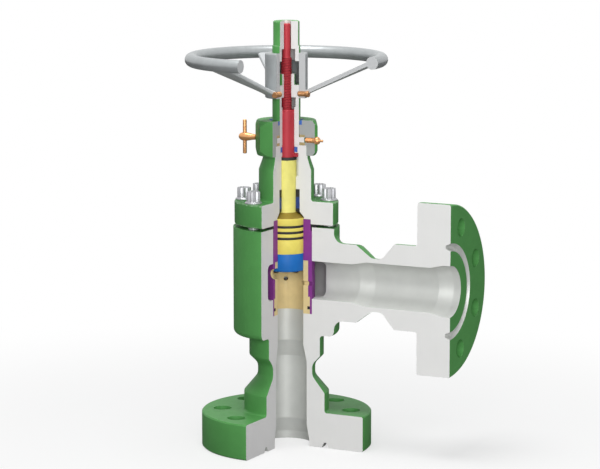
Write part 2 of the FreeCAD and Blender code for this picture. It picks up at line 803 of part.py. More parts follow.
def make_gasket():
    """Steel ring that the bonnet is pulled down on."""
    inner = d.sleeve_spigot_diameter / 2 + d.seat_clearance
    return sectioned_ring("bonnet_gasket", inner, gasket_radius, bowl_top, bonnet_base)


def make_bolts():
    """The six twelve-point bonnet bolts outside the cut quarter."""
    body = new_body("bonnet_bolts")
    half_step = math.pi / 8
    centre_x = bonnet_bolt_radius * math.cos(half_step)
    centre_y = bonnet_bolt_radius * math.sin(half_step)
    seat = bonnet_flange_top
    head_top = seat + d.bolt_flange_height + d.bolt_head_height
    shank_bottom = bowl_top - d.bonnet_bolt_depth + d.full_open_gap
    features = []
    shank = new_sketch(body, "shank_outline", "XY_Plane", lift=shank_bottom)
    draw_circle(shank, centre_x, centre_y, d.bonnet_bolt - d.running_clearance * 2)
    features.append(pad_along(body, "shank", shank, seat - shank_bottom))
    washer = new_sketch(body, "flange_outline", "XY_Plane", lift=seat)
    draw_circle(washer, centre_x, centre_y, d.bolt_flange_diameter)
    features.append(pad_along(body, "flange", washer, d.bolt_flange_height))
    for turn in (0, 30):
        points = new_sketch(body, f"points_outline_{turn}", "XY_Plane", lift=seat)
        hexagon = polygon(6, d.bolt_head_width, turn)
        draw_outline(points, [(centre_x + x, centre_y + y) for x, y in hexagon])
        features.append(pad_along(body, f"points_{turn}", points, head_top - seat))
    pattern_round(body, "all_bolts", features, (origin_item(body, "Z_Axis"), [""]), 6, 225.0)
    return body


def make_packing():
    """Rod packing between its two black end rings."""
    inner = d.rod_diameter / 2 + d.seal_clearance
    outer = d.packing_diameter / 2
    sectioned_ring("packing_bottom_ring", inner, outer, packing_floor, packing_middle)
    sectioned_ring("packing_set", inner, outer, packing_middle, packing_cover)
    sectioned_ring("packing_top_ring", inner, outer, packing_cover, packing_roof)


def make_stem_seal():
    """Seal round the stem at the top of the bonnet."""
    sectioned_ring("stem_seal", d.stem_diameter / 2 + d.seal_clearance, d.stem_seal_diameter / 2,
                   stem_seal_floor, stem_seal_floor + d.stem_seal_height)


def make_nut():
    """Hexagonal bonnet nut that holds the bushing and its washers down."""
    body = new_body("bonnet_nut")
    sketch = new_sketch(body, "hexagon", "XY_Plane", lift=nut_base)
    draw_outline(sketch, polygon(6, d.nut_width, SIZES["nut_turn"]))
    pad_along(body, "block", sketch, nut_top - nut_base)
    bevel = nut_corner - d.nut_bevel_width
    outside = nut_corner + d.nut_bevel_width
    lower = nut_base + d.nut_bevel_height
    upper = nut_top - d.nut_bevel_height
    cut_turned(body, "lower_bevel", [(bevel, nut_base), (outside, nut_base),
                                     (outside, lower), (nut_corner, lower)])
    cut_turned(body, "upper_bevel", [(nut_corner, upper), (outside, upper),
                                     (outside, nut_top), (bevel, nut_top)])
    thread = d.spigot_diameter / 2 + d.running_clearance
    washer = d.washer_diameter / 2 + d.seat_clearance
    tube = d.bushing_diameter / 2 + d.turning_clearance
    wiper = d.wiper_diameter / 2
    cut_turned(body, "bore", [
        (0, nut_base), (thread, nut_base), (thread, bonnet_top), (washer, bonnet_top),
        (washer, upper_washer_top), (tube, upper_washer_top), (tube, wiper_floor),
        (wiper, wiper_floor), (wiper, nut_top), (0, nut_top)])
    lock = new_sketch(body, "lock_hole_centre", "YZ_Plane")
    draw_circle(lock, 0, drive_level, d.lock_thread + d.running_clearance * 2)
    cut_along(body, "lock_hole", lock, nut_corner, forward=False)
    grease = new_sketch(body, "grease_hole_centre", "YZ_Plane")
    draw_circle(grease, 0, drive_level, d.fitting_thread + d.running_clearance * 2)
    cut_along(body, "grease_hole", grease, nut_corner)
    cut_section(body)
    return body


def make_washers():
    """Thrust washers under and over the bushing's flange."""
    bore = d.washer_bore / 2
    rim = d.washer_diameter / 2
    sectioned_ring("lower_thrust_washer", bore, rim, bonnet_top, bushing_base)
    sectioned_ring("upper_thrust_washer", bore, rim, bushing_flange_top, upper_washer_top)


def make_wiper():
    """Wiper ring at the top of the nut."""
    sectioned_ring("nut_wiper", d.bushing_diameter / 2 + d.seal_clearance, d.wiper_diameter / 2,
                   wiper_floor, wiper_floor + d.wiper_height)


def make_bushing():
    """Drive bushing: its thread lifts the stem, its flange runs between the washers."""
    body = new_body("drive_bushing")
    spigot = d.washer_bore / 2 - d.turning_clearance
    flange = d.bushing_flange_diameter / 2
    tube = d.bushing_diameter / 2
    top = d.bushing_top_diameter / 2
    bore = d.stem_diameter / 2 + d.guide_clearance
    relief = d.bushing_relief_bore / 2
    thread = d.stem_thread / 2 + d.running_clearance
    foot = bonnet_top + d.running_clearance
    base = bushing_base + d.running_clearance
    relief_base = bushing_thread_base - d.bushing_relief_length
    add_turned(body, "barrel", [
        (bore, foot), (spigot, foot), (spigot, base), (flange, base),
        (flange, bushing_flange_top - d.running_clearance),
        (tube, bushing_flange_top - d.running_clearance), (tube, bushing_shoulder),
        (top, bushing_shoulder), (top, bushing_top), (thread, bushing_top),
        (thread, bushing_thread_base), (relief, bushing_thread_base), (relief, relief_base),
        (bore, relief_base)])
    cut_screw_holes(body)
    cut_section(body)
    return body


def cut_beside(body, name, diameter, start, length):
    """Cuts a hole towards +X and one towards -Y, on the line of the wheel's two screws."""
    for plane in ("YZ_Plane", "XZ_Plane"):
        side = plane[:2].lower()
        sketch = new_sketch(body, f"{name}_{side}_centre", plane, lift=start)
        draw_circle(sketch, 0, wheel_screw_level, diameter)
        cut_along(body, f"{name}_{side}", sketch, length)


def cut_screw_holes(body):
    """Cuts the holes that the wheel's two screws pass through."""
    cut_beside(body, "screw_hole", d.wheel_screw + d.running_clearance * 2, screw_root,
               d.wheel_hub_diameter / 2)


def cut_screw_recesses(body):
    """Clears the spokes round the heads of the wheel's two screws."""
    cut_beside(body, "screw_recess", d.wheel_screw_head + d.guide_clearance * 2,
               screw_head_seat, d.wheel_screw_recess)


def make_handwheel():
    """Handwheel: a tall hub, three flat spokes that widen outwards, and a round rim."""
    body = new_body("handwheel")
    hub = d.wheel_hub_diameter / 2
    bore = d.bushing_diameter / 2 + d.guide_clearance
    edge = d.wheel_hub_edge
    add_turned(body, "hub", [
        (bore, wheel_base), (hub - edge, wheel_base), (hub, wheel_base + edge),
        (hub, wheel_hub_top - edge), (hub - edge, wheel_hub_top), (bore, wheel_hub_top)])
    root = (hub + bore) / 2
    ends = (("root", root, d.spoke_root_rise, d.spoke_root_width, d.spoke_root_height),
            ("end", d.rim_diameter / 2, d.spoke_end_rise, d.spoke_end_width, d.spoke_end_height))
    sections = []
    turn = math.radians(SIZES["spoke_turn"])
    for name, reach, rise, width, height in ends:
        sketch = new_sketch(body, f"spoke_{name}", "YZ_Plane", lift=reach * math.cos(turn))
        sketch.setExpression(".AttachmentOffset.Base.x", (reach * math.sin(turn)).formula)
        sketch.setExpression(".AttachmentOffset.Base.y", (wheel_base + rise).formula)
        sketch.AttachmentOffset.Rotation = FreeCAD.Rotation(FreeCAD.Vector(0, 1, 0),
                                                            SIZES["spoke_turn"])
        draw_outline(sketch, [(-width / 2, -height / 2), (width / 2, -height / 2),
                              (width / 2, height / 2), (-width / 2, height / 2)])
        sections.append(sketch)
    spoke = body.newObject("PartDesign::AdditiveLoft", "spoke")
    spoke.Profile = sections[0]
    spoke.Sections = [sections[1]]
    spoke.Ruled = True
    pattern_round(body, "spokes", [spoke], (origin_item(body, "Z_Axis"), [""]),
                  SIZES["spoke_count"])
    rim = new_sketch(body, "rim_section", "YZ_Plane")
    draw_circle(rim, d.rim_diameter / 2, rim_level, d.rim_section)
    turn_about(body, "PartDesign::Revolution", "rim", rim, "V_Axis")
    cut_screw_holes(body)
    cut_screw_recesses(body)
    cut_section(body)
    return body


def make_wheel_screws():
    """Two brass screws that pin the hub to the bushing."""
    body = new_body("handwheel_screws")
    shank_length = screw_head_seat - screw_root
    for plane in ("YZ_Plane", "XZ_Plane"):
        name = plane[:2].lower()
        shank = new_sketch(body, f"shank_{name}", plane, lift=screw_root)
        draw_circle(shank, 0, wheel_screw_level, d.wheel_screw)
        pad_along(body, f"shank_pad_{name}", shank, shank_length)
        head = new_sketch(body, f"head_{name}", plane, lift=screw_head_seat)
        draw_circle(head, 0, wheel_screw_level, d.wheel_screw_head)
        pad_along(body, f"head_pad_{name}", head, d.wheel_screw_head_height)
    return body


def make_cap():
    """Cap screwed into the hub over the end of the stem."""
    body = new_body("top_cap")
    outer = d.cap_diameter / 2
    skirt = d.bushing_diameter / 2
    bore = d.cap_bore / 2
    counterbore = d.cap_counterbore / 2
    counterbore_top = wheel_hub_top + d.cap_counterbore_rise
    edge = d.cap_edge
    add_turned(body, "cap", [
        (counterbore, cap_base), (skirt, cap_base), (skirt, cap_collar_top),
        (outer, cap_collar_top), (outer, cap_top - edge), (outer - edge, cap_top),
        (bore, cap_top), (bore, counterbore_top), (counterbore, counterbore_top)])
    cut_section(body)
    return body


def make_stem():
    """Stem that rises and falls without turning, with a seat for its key."""
    body = new_body("stem")
    guide = d.stem_diameter / 2
    thread = d.stem_thread / 2
    tail = d.stem_tail / 2
    root = d.stem_root / 2
    edge = d.stem_edge
    root_end = stem_base - d.stem_root_length
    add_turned(body, "rod", [
        (0, root_end), (root, root_end), (root, stem_base), (guide, stem_base),
        (guide, stem_guide_top - edge), (guide - edge, stem_guide_top),
        (thread, stem_guide_top), (thread, stem_thread_top - edge),
        (thread - edge, stem_thread_top), (tail, stem_thread_top), (tail, stem_top - edge),
        (tail - edge, stem_top), (0, stem_top)])
    seat = new_sketch(body, "key_seat_outline", "XY_Plane", lift=key_floor)
    half = d.key_width / 2
    draw_outline(seat, [(key_root, -half), (key_end, -half), (key_end, half), (key_root, half)])
    cut_along(body, "key_seat", seat, d.key_height)
    return body


def make_stem_ring():
    """Dark ring between the stem and the plug's rod."""
    body = new_body("stem_ring")
    inner = d.stem_root / 2 + d.running_clearance
    outer = d.rod_diameter / 2
    add_turned(body, "ring", [(inner, rod_top), (outer, rod_top), (outer, stem_base),
                              (inner, stem_base)])
    return body


def ring_level(number):
    """Height of the top of one plug ring's groove, counted from the top."""
    return plug_shoulder - d.plug_ring_drop - d.plug_ring_pitch * number


def make_plug():
    """Plug with its rod, ring grooves and the holes for the stem and the tip's screw."""
    body = new_body("plug")
    outer = d.plug_diameter / 2
    rod = d.rod_diameter / 2
    root = d.stem_root / 2 + d.running_clearance
    screw = d.tip_screw / 2 + d.running_clearance
    root_end = stem_base - d.stem_root_length - d.full_open_gap
    add_turned(body, "plug_and_rod", [
        (0, plug_bottom), (outer, plug_bottom), (outer, plug_shoulder), (rod, cone_top),
        (rod, rod_top), (0, rod_top)])
    for number in range(SIZES["plug_ring_count"]):
        top = ring_level(number)
        bottom = top - d.plug_ring_height
        floor = outer - d.plug_ring_depth
        beyond_wall = outer + d.plug_ring_depth
        cut_turned(body, f"ring_groove_{number + 1}", [
            (floor, bottom), (beyond_wall, bottom), (beyond_wall, top), (floor, top)])
    cut_turned(body, "stem_hole", [(0, root_end), (root, root_end), (root, rod_top),
                                   (0, rod_top)])
    screw_top = plug_bottom + d.tip_screw_depth + d.full_open_gap
    cut_turned(body, "screw_hole", [(0, plug_bottom), (screw, plug_bottom), (screw, screw_top),
                                    (0, screw_top)])
    return body


def make_plug_rings():
    """Seal rings in the plug's grooves."""
    for number in range(SIZES["plug_ring_count"]):
        body = new_body(f"plug_ring_{number + 1}")
        top = ring_level(number) - d.running_clearance
        bottom = ring_level(number) - d.plug_ring_height + d.running_clearance
        inner = d.plug_diameter / 2 - d.plug_ring_depth + d.running_clearance
        outer = d.plug_diameter / 2
        add_turned(body, "ring", [(inner, bottom), (outer, bottom), (outer, top), (inner, top)])


def make_tip():
    """Hard tip under the plug, with a sunk hole for its screw."""
    body = new_body("plug_tip")
    outer = d.plug_diameter / 2
    edge = d.tip_edge
    screw = d.tip_screw / 2 + d.running_clearance
    head = d.tip_screw_head / 2 + d.running_clearance
    head_top = tip_bottom + d.tip_screw_sink + d.tip_screw_head_height
    add_turned(body, "tip", [
        (head, tip_bottom), (outer - edge, tip_bottom), (outer, tip_bottom + edge),
        (outer, plug_bottom), (screw, plug_bottom), (screw, head_top), (head, head_top)])
    return body


def make_tip_screw():
    """Screw that holds the tip on the plug."""
    body = new_body("tip_screw")
    shank = d.tip_screw / 2
    head = d.tip_screw_head / 2
    head_bottom = tip_bottom + d.tip_screw_sink
    head_top = head_bottom + d.tip_screw_head_height
    add_turned(body, "screw", [
        (0, head_bottom), (head, head_bottom), (head, head_top), (shank, head_top),
        (shank, plug_bottom + d.tip_screw_depth), (0, plug_bottom + d.tip_screw_depth)])
    return body


def make_lock_pad():
    """Swivelling pad on the end of the locking screw."""
    body = new_body("lock_pad")
    pad = d.lock_pad_diameter / 2
    pin = d.lock_pin / 2
    inlet_turned(body, "PartDesign::Revolution", "pad", [
        (-pad_face, 0), (-pad_face, pad), (-pad_back, pad), (-pad_back, pin),
        (-pad_back - d.lock_pin_length, pin), (-pad_back - d.lock_pin_length, 0)], drive_level)
    return body


def make_lock_screw():
    """Locking screw: a thread in the nut's wall and a rounded head for the cross bar."""
    body = new_body("lock_screw")
    thread = d.lock_thread / 2
    neck = d.lock_neck / 2
    head = d.lock_head / 2
    hole = d.lock_pin / 2 + d.running_clearance
    hole_end = pad_back + d.lock_pin_length + d.guide_clearance
    crown = lock_head_end + d.lock_head_crown
    inlet_turned(body, "PartDesign::Revolution", "screw", [
        (-hole_end, 0), (-hole_end, hole), (-lock_front, hole), (-lock_front, thread),
        (-lock_neck_end, thread), (-lock_neck_end, neck), (-lock_head_start, head),
        (-lock_head_end, head), (-crown, neck), (-crown, 0)], drive_level)
    through = new_sketch(body, "bar_hole_centre", "XY_Plane", lift=drive_level - d.lock_head)
    draw_circle(through, -lock_bar_place, 0, d.lock_bar + d.running_clearance * 2)
    cut_along(body, "bar_hole", through, d.lock_head * 2)
    return body


def make_lock_bar():
    """Cross bar through the head of the locking screw."""
    body = new_body("lock_bar")
    bar = new_sketch(body, "bar_outline", "XY_Plane", lift=drive_level - d.lock_bar_length / 2)
    draw_circle(bar, -lock_bar_place, 0, d.lock_bar)
    rod = pad_along(body, "bar", bar, d.lock_bar_length)
    half = d.lock_bar_length / 2
    ends = [(d.lock_bar / 2, drive_level - half), (d.lock_bar / 2, drive_level + half)]
    bevel_edges(body, "bar_ends", rod, ring_edges(rod, ends), d.lock_bar_edge)
    return body


def make_fitting():
    """Grease fitting in the nut's wall, opposite the locking screw."""
    body = new_body("grease_fitting")
    thread = d.fitting_thread / 2
    ball = d.fitting_ball / 2
    nipple = d.fitting_nipple / 2
    start = d.washer_diameter / 2 + d.fitting_root_gap
    seat = d.nut_width / 2 + d.fitting_stand
    middle = seat + d.fitting_ball_length / 2
    top = seat + d.fitting_ball_length
    end = top + d.fitting_nipple_length
    inlet_turned(body, "PartDesign::Revolution", "fitting", [
        (start, 0), (start, thread), (seat, thread), (seat, ball / 2), (middle, ball),
        (top, ball / 2), (top, nipple), (end, d.fitting_tip / 2), (end, 0)], drive_level)
    return body


def build_all():
    """Builds every sub-part in the order in which the valve is put together."""
    make_valve_body()
    make_cage()
    make_cage_seal()
    make_sleeve()
    make_gasket()
    make_bonnet()
    make_bolts()
    make_packing()
    make_plug()
    make_plug_rings()
    make_tip()
    make_tip_screw()
    make_stem_ring()
    make_stem()
    make_key()
    make_stem_seal()
    make_washers()
    make_bushing()
    make_nut()
    make_wiper()
    make_handwheel()
    make_wheel_screws()
    make_cap()
    make_lock_pad()
    make_lock_screw()
    make_lock_bar()
    make_fitting()


def check_features():
    """Stops on a failed object, a broken shape or a cut that removes nothing."""
    for item in doc.Objects:
        if "Invalid" in item.State or "Error" in item.State:
            raise RuntimeError(f"{item.Name} of {item.Label} failed: {item.State}")
    for body in doc.findObjects("PartDesign::Body"):
        shape = body.Shape
        if shape.isNull() or not shape.isValid() or not shape.Solids:
            raise RuntimeError(f"{body.Label} has no valid solid")
        before = 0.0
        for feature in body.Group:
            if not feature.isDerivedFrom("PartDesign::Feature"):
                continue
            after = feature.Shape.Volume
            cuts = feature.TypeId in ("PartDesign::Pocket", "PartDesign::Groove")
            if cuts and after >= before - TOUCH:
                raise RuntimeError(f"{feature.Name} of {body.Label} cuts nothing")
            before = after


def export_parts():
    """Writes each sub-part to its own STEP file."""
    os.makedirs("parts", exist_ok=True)
    for body in doc.findObjects("PartDesign::Body"):
        body.Shape.exportStep(f"parts/{body.Label}.step")
        box = body.Shape.BoundBox
        print(f"{body.Label}: {len(body.Shape.Solids)} solid(s), {body.Shape.Volume:.0f} mm3, "
              f"z {box.ZMin:.1f} to {box.ZMax:.1f}")


build_all()
doc.recompute()
check_features()
export_parts()
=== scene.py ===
"""Cut-away choke valve: the finish of every surface and the fine pieces of the valve.

Lengths are metres in the valve's own frame. The outlet bore runs up the Z axis from the
origin and the inlet flange looks along +X. The quarter with x above zero and y below zero
is cut out of every casing and seal.
"""

import math

import bmesh
import bpy
from bpy.props import FloatProperty, FloatVectorProperty, IntProperty, PointerProperty
from mathutils import Matrix, Vector


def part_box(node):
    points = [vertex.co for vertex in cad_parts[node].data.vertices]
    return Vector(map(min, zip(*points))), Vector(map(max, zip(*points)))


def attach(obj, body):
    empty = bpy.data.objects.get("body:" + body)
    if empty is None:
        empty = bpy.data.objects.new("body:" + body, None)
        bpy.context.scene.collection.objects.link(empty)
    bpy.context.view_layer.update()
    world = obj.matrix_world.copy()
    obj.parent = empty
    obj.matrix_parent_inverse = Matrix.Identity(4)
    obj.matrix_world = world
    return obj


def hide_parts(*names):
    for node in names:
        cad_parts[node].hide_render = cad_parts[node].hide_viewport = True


bl_info = {
    "name": "Cut-away choke valve",
    "version": (1, 0, 0),
    "blender": (4, 5, 0),
    "location": "3D View > Sidebar > Choke valve",
    "description": "Adds the finishes, threads, bolts and handwheel of a cut-away choke valve",
    "category": "Add Mesh",
}

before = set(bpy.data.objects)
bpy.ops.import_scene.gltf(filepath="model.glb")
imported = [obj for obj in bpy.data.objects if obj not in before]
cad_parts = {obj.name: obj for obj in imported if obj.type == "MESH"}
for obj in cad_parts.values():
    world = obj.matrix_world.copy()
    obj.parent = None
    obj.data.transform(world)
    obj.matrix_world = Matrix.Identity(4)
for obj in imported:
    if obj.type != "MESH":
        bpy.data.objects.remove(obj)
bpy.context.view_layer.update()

MM = 0.001
FINISH = "valve_"
FULL_TURN = math.radians(360)
KEPT_QUARTERS = math.radians(270)

# Points nearer than MERGE are one, and a point nearer than ON_PLANE lies on a cut plane.
MERGE = 0.002 * MM
ON_PLANE = 0.02 * MM

# Steps in which a turn of the stem's thread, and the kept part of its nut's, are wound, and
# where a ridge of each leaves its foot, begins and ends its crest and is back at its foot, in
# shares of a pitch
THREAD_STEPS = 36
STEM_RIDGE = (0, 0.3, 0.62, 0.92)
NUT_RIDGE = (0.58, 0.38, 0.12, -0.05)

# Flatter than LEVEL, two faces become one. A normal of more than SQUARE along an axis makes a
# machined flat, one of less than INWARDS makes a face look at its axis, and a change of
# BORE_LEAN makes a step in a bore.
LEVEL = math.radians(0.4)
SQUARE = 0.9999
INWARDS = 0.05
BORE_LEAN = 0.03

# Places in a casing's list of finishes, and in the handwheel's
PAINT, RIGHT, LEFT, BORE, SIDE_BORE = range(5)
WHEEL_CUT, SPOKE = 1, 2

outlet_low, outlet_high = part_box("valve_body")
INLET_FACE = outlet_high.x
BOWL_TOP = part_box("bonnet_gasket")[0].z
INLET_AXIS = outlet_high.z - (outlet_high.y - outlet_low.y) / 2
SEAT_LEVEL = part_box("flow_cage")[0].z
DRIVE_LEVEL = (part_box("lock_bar")[0].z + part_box("lock_bar")[1].z) / 2


def from_screen(red, green, blue):
    """Turns a colour as a screen shows it, 0 to 255, into the linear colour of a shader."""
    shares = [channel / 255 for channel in (red, green, blue)]
    return tuple(s / 12.92 if s <= 0.04045 else ((s + 0.055) / 1.055) ** 2.4 for s in shares)


def colour_prop(name, description, *screen):
    """A colour that a user may change."""
    return FloatVectorProperty(name=name, description=description, subtype="COLOR", size=3,
                               min=0, max=1, default=from_screen(*screen))


def length_prop(name, description, millimetres):
    """A length that a user may change."""
    return FloatProperty(name=name, description=description, unit="LENGTH",
                         default=millimetres * MM, precision=5)


def angle_prop(name, description, degrees):
    """An angle that a user may change."""
    return FloatProperty(name=name, description=description, subtype="ANGLE",
                         default=math.radians(degrees))


class ValveColours(bpy.types.PropertyGroup):
    """Colours of the valve's finishes."""

    enamel: colour_prop("Enamel", "Green paint of the casings", 89, 157, 86)
    right_section: colour_prop("Right section", "Cut faces beside the inlet", 240, 240, 238)
    # The outer side's cut faces are painted a little darker than the inlet's side, as shade.
    left_section_painted_shade: colour_prop("Left section", "Cut faces on the outer side", 228, 227, 227)
    nut_section: colour_prop("Nut section", "Cut faces of the bonnet nut", 173, 178, 176)
    bore: colour_prop("Bore", "Bored and turned steel", 217, 219, 215)
    wheel: colour_prop("Wheel", "Grey enamel of the hub and rim", 170, 174, 175)
    # The spokes are painted paler than the hub and rim, standing in for the light they catch.
    spoke: colour_prop("Spokes", "Paler enamel of the spokes", 201, 204, 205)
    wheel_section: colour_prop("Wheel section", "Cut faces of the handwheel", 204, 206, 207)
    brass: colour_prop("Brass", "Locking screw, fitting and wheel screws", 234, 172, 116)
    zinc: colour_prop("Zinc", "Bonnet bolts", 188, 188, 192)
    stem: colour_prop("Stem", "Red stem", 186, 58, 68)
    rod: colour_prop("Rod", "Yellow rod of the plug", 238, 230, 128)
    plug: colour_prop("Plug", "Golden body of the plug", 240, 224, 108)
    cone: colour_prop("Cone", "Dark golden cone above the plug", 148, 127, 50)
    tip: colour_prop("Tip", "Blue tip of the plug", 28, 110, 190)
    sleeve: colour_prop("Sleeve", "Purple sleeve round the cage", 142, 62, 150)
    cage: colour_prop("Cage", "Tan cage", 236, 214, 158)
    bronze: colour_prop("Bronze", "Thrust washers", 196, 178, 128)
    rubber: colour_prop("Rubber", "Black rings", 34, 34, 32)
    packing: colour_prop("Packing", "Navy rod packing", 34, 62, 128)
    seal: colour_prop("Seal", "Blue stem seal and wiper", 62, 108, 190)


class EdgeSizes(bpy.types.PropertyGroup):
    """Broken edges of the castings and of the small parts."""

    casing: length_prop("Casing edge", "Width of the broken edges of the casings", 0.7)
    fine: length_prop("Fine edge", "Width of the broken edges of turned parts", 0.3)
    corner: angle_prop("Corner angle", "Edges sharper than this are broken", 28)


class ThreadSizes(bpy.types.PropertyGroup):
    """Left-hand thread of the stem, and the plain stretches beside it."""

    lead: length_prop("Lead", "Rise of the thread in one turn", 5.0)
    starts: IntProperty(name="Starts", description="Number of threads side by side", default=2,
                        min=1)
    crest: length_prop("Crest radius", "Radius over the threads of the stem", 8.6)
    depth: length_prop("Depth", "Depth of the threads", 1.15)
    length: length_prop("Thread length", "Length of the threaded stretch", 81.0)
    tail: length_prop("Tail radius", "Radius of the plain tail above the threads", 6.5)
    tail_length: length_prop("Tail length", "Length of the plain tail", 52.0)
    root: length_prop("Root radius", "Radius of the root that is screwed in the rod", 8.0)
    nut_base: length_prop("Nut thread drop", "Thread of the bushing, below its top", 36.2)


class BoltSizes(bpy.types.PropertyGroup):
    """Twelve-point flange bolts of the bonnet."""

    count: IntProperty(name="Bolts", description="Bolts that the cut leaves", default=6, min=1)
    circle: length_prop("Bolt circle radius", "Distance of the bolts from the stem's axis", 66.3)
    flange: length_prop("Flange radius", "Radius of the flange under the head", 13.5)
    flange_height: length_prop("Flange height", "Height of the flange at its rim", 1.9)
    flange_top: length_prop("Flange slope end", "Height at which the flange meets the head", 3.6)
    point: length_prop("Point radius", "Radius to the tips of the twelve points", 10.7)
    valley: length_prop("Valley radius", "Radius to the valleys between the points", 9.35)
    head: length_prop("Head height", "Height of the head above its seat", 19.0)
    edge: length_prop("Head edge", "Broken edge at the top of the head", 0.7)
    cup: length_prop("Cup depth", "Depth of the forged cup in the head's top", 1.6)
    shank: length_prop("Shank radius", "Radius of the threaded shank", 7.9)


class WheelSizes(bpy.types.PropertyGroup):
    """Handwheel with a tall hub, flat spokes and a round rim."""

    rim: length_prop("Rim section", "Radius of the rim's round section", 10.0)
    rim_rise: length_prop("Rim rise", "Height of the rim above the hub's base", 59.3)
    hub: length_prop("Hub radius", "Outside radius of the hub", 33.0)
    bore: length_prop("Hub bore", "Bore radius of the hub", 22.0)
    edge: length_prop("Hub edge", "Rounding of the hub's ends", 2.4)
    spokes: IntProperty(name="Spokes", description="Number of spokes", default=3, min=2)
    turn: angle_prop("Spoke turn", "Angle of the first spoke from the inlet", 2)
    root_rise: length_prop("Root rise", "Height of a spoke's root above the hub's base", 7.2)
    root_width: length_prop("Root width", "Width of a spoke at the hub", 28.0)
    root_height: length_prop("Root height", "Thickness of a spoke at the hub", 6.5)
    end_rise: length_prop("End rise", "Height of a spoke's end above the hub's base", 61.2)
    end_width: length_prop("End width", "Width of a spoke at the rim", 76.0)
    end_height: length_prop("End height", "Thickness of a spoke at the rim", 6.8)
    flare: length_prop("Flare", "Extra width where a spoke runs into the hub", 4.0)


class SmallSizes(bpy.types.PropertyGroup):
    """Screws, locking screw, grease fitting and rod packing."""

    wheel_screw: length_prop("Wheel screw", "Radius of the wheel's screws", 4.2)
    wheel_screw_root: length_prop("Wheel screw root", "Inner end's distance from the stem", 20.8)
    wheel_screw_head: length_prop("Wheel screw head", "Radius of a wheel screw's head", 4.8)
    wheel_screw_head_height: length_prop("Screw head height", "Height of a wheel screw's head", 4.5)
    slot_width: length_prop("Slot width", "Width of the slot in a wheel screw's head", 1.3)
    slot_depth: length_prop("Slot depth", "Depth of the slot in a wheel screw's head", 1.5)
    screw_pitch: length_prop("Screw pitch", "Pitch of the small screws' threads", 1.25)
    lock_thread: length_prop("Lock thread", "Radius of the locking screw's thread", 4.0)
    lock_bulb: length_prop("Lock bulb", "Radius of the locking screw's round head", 6.75)
    lock_neck: length_prop("Lock neck", "Radius of the neck below the round head", 4.3)
    lock_bar: length_prop("Cross bar", "Radius of the cross bar", 3.1)
    fitting_thread: length_prop("Fitting thread", "Radius of the fitting's thread", 3.9)
    fitting_ball: length_prop("Fitting ball", "Radius of the fitting's round body", 6.0)
    nipple: length_prop("Nipple", "Radius of the fitting's nipple", 2.2)
    packing_inner: length_prop("Packing bore", "Bore radius of the rod packing", 16.3)
    packing_rings: IntProperty(name="Packing rings", description="Rings in the rod packing",
                               default=4, min=1)


class ViewSizes(bpy.types.PropertyGroup):
    """Where the camera stands."""

    azimuth: angle_prop("Azimuth", "Turn of the camera from the front towards the inlet", 27.477)
    elevation: angle_prop("Elevation", "Height of the camera as an angle", 8.782)
    distance: length_prop("Distance", "From the camera to the point that it looks at", 4152.7)
    slide: length_prop("Slide", "Aim point to the right of the stem's axis", 21.02)
    height: length_prop("Height", "Aim point above the floor", 333.54)
    lens: FloatProperty(name="Lens", description="Focal length in millimetres on a 36 mm sensor",
                        default=159.74)


class ValveSettings(bpy.types.PropertyGroup):
    """Every setting of the valve."""

    colours: PointerProperty(type=ValveColours, name="Colours", description="Colours")
    edges: PointerProperty(type=EdgeSizes, name="Edges", description="Broken edges")
    thread: PointerProperty(type=ThreadSizes, name="Thread", description="Stem thread")
    bolt: PointerProperty(type=BoltSizes, name="Bolts", description="Bonnet bolts")
    wheel: PointerProperty(type=WheelSizes, name="Wheel", description="Handwheel")
    small: PointerProperty(type=SmallSizes, name="Small parts", description="Small parts")
    view: PointerProperty(type=ViewSizes, name="View", description="Camera")


def valve():
    """The valve's settings."""
    return bpy.context.scene.choke_valve


# Shader expressions


class Value:
    """A shader socket: arithmetic on it adds the nodes that work it out."""

    def __init__(self, shade, socket):
        self.shade = shade
        self.socket = socket

    def maths(self, operation, *others):
        return self.shade.node("ShaderNodeMath", {"operation": operation}, [self, *others])

    def __add__(self, other):
        return self.maths("ADD", other)

    def __sub__(self, other):
        return self.maths("SUBTRACT", other)

    def __mul__(self, other):
        return self.maths("MULTIPLY", other)

    def __rsub__(self, other):
        return self * -1 + other

    __radd__ = __add__
    __rmul__ = __mul__

    def between(self, low, high):
        """Rises smoothly from 0 at low to 1 at high."""
        settings = {"interpolation_type": "SMOOTHSTEP"}
        return self.shade.node("ShaderNodeMapRange", settings, {
            "Value": self, "From Min": low, "From Max": high}, "Result")


def finish(name):
    """The finish of that name. The first call makes them all."""
    if FINISH + name not in bpy.data.materials:
        make_finishes(valve().colours, valve().thread)
    return bpy.data.materials[FINISH + name]


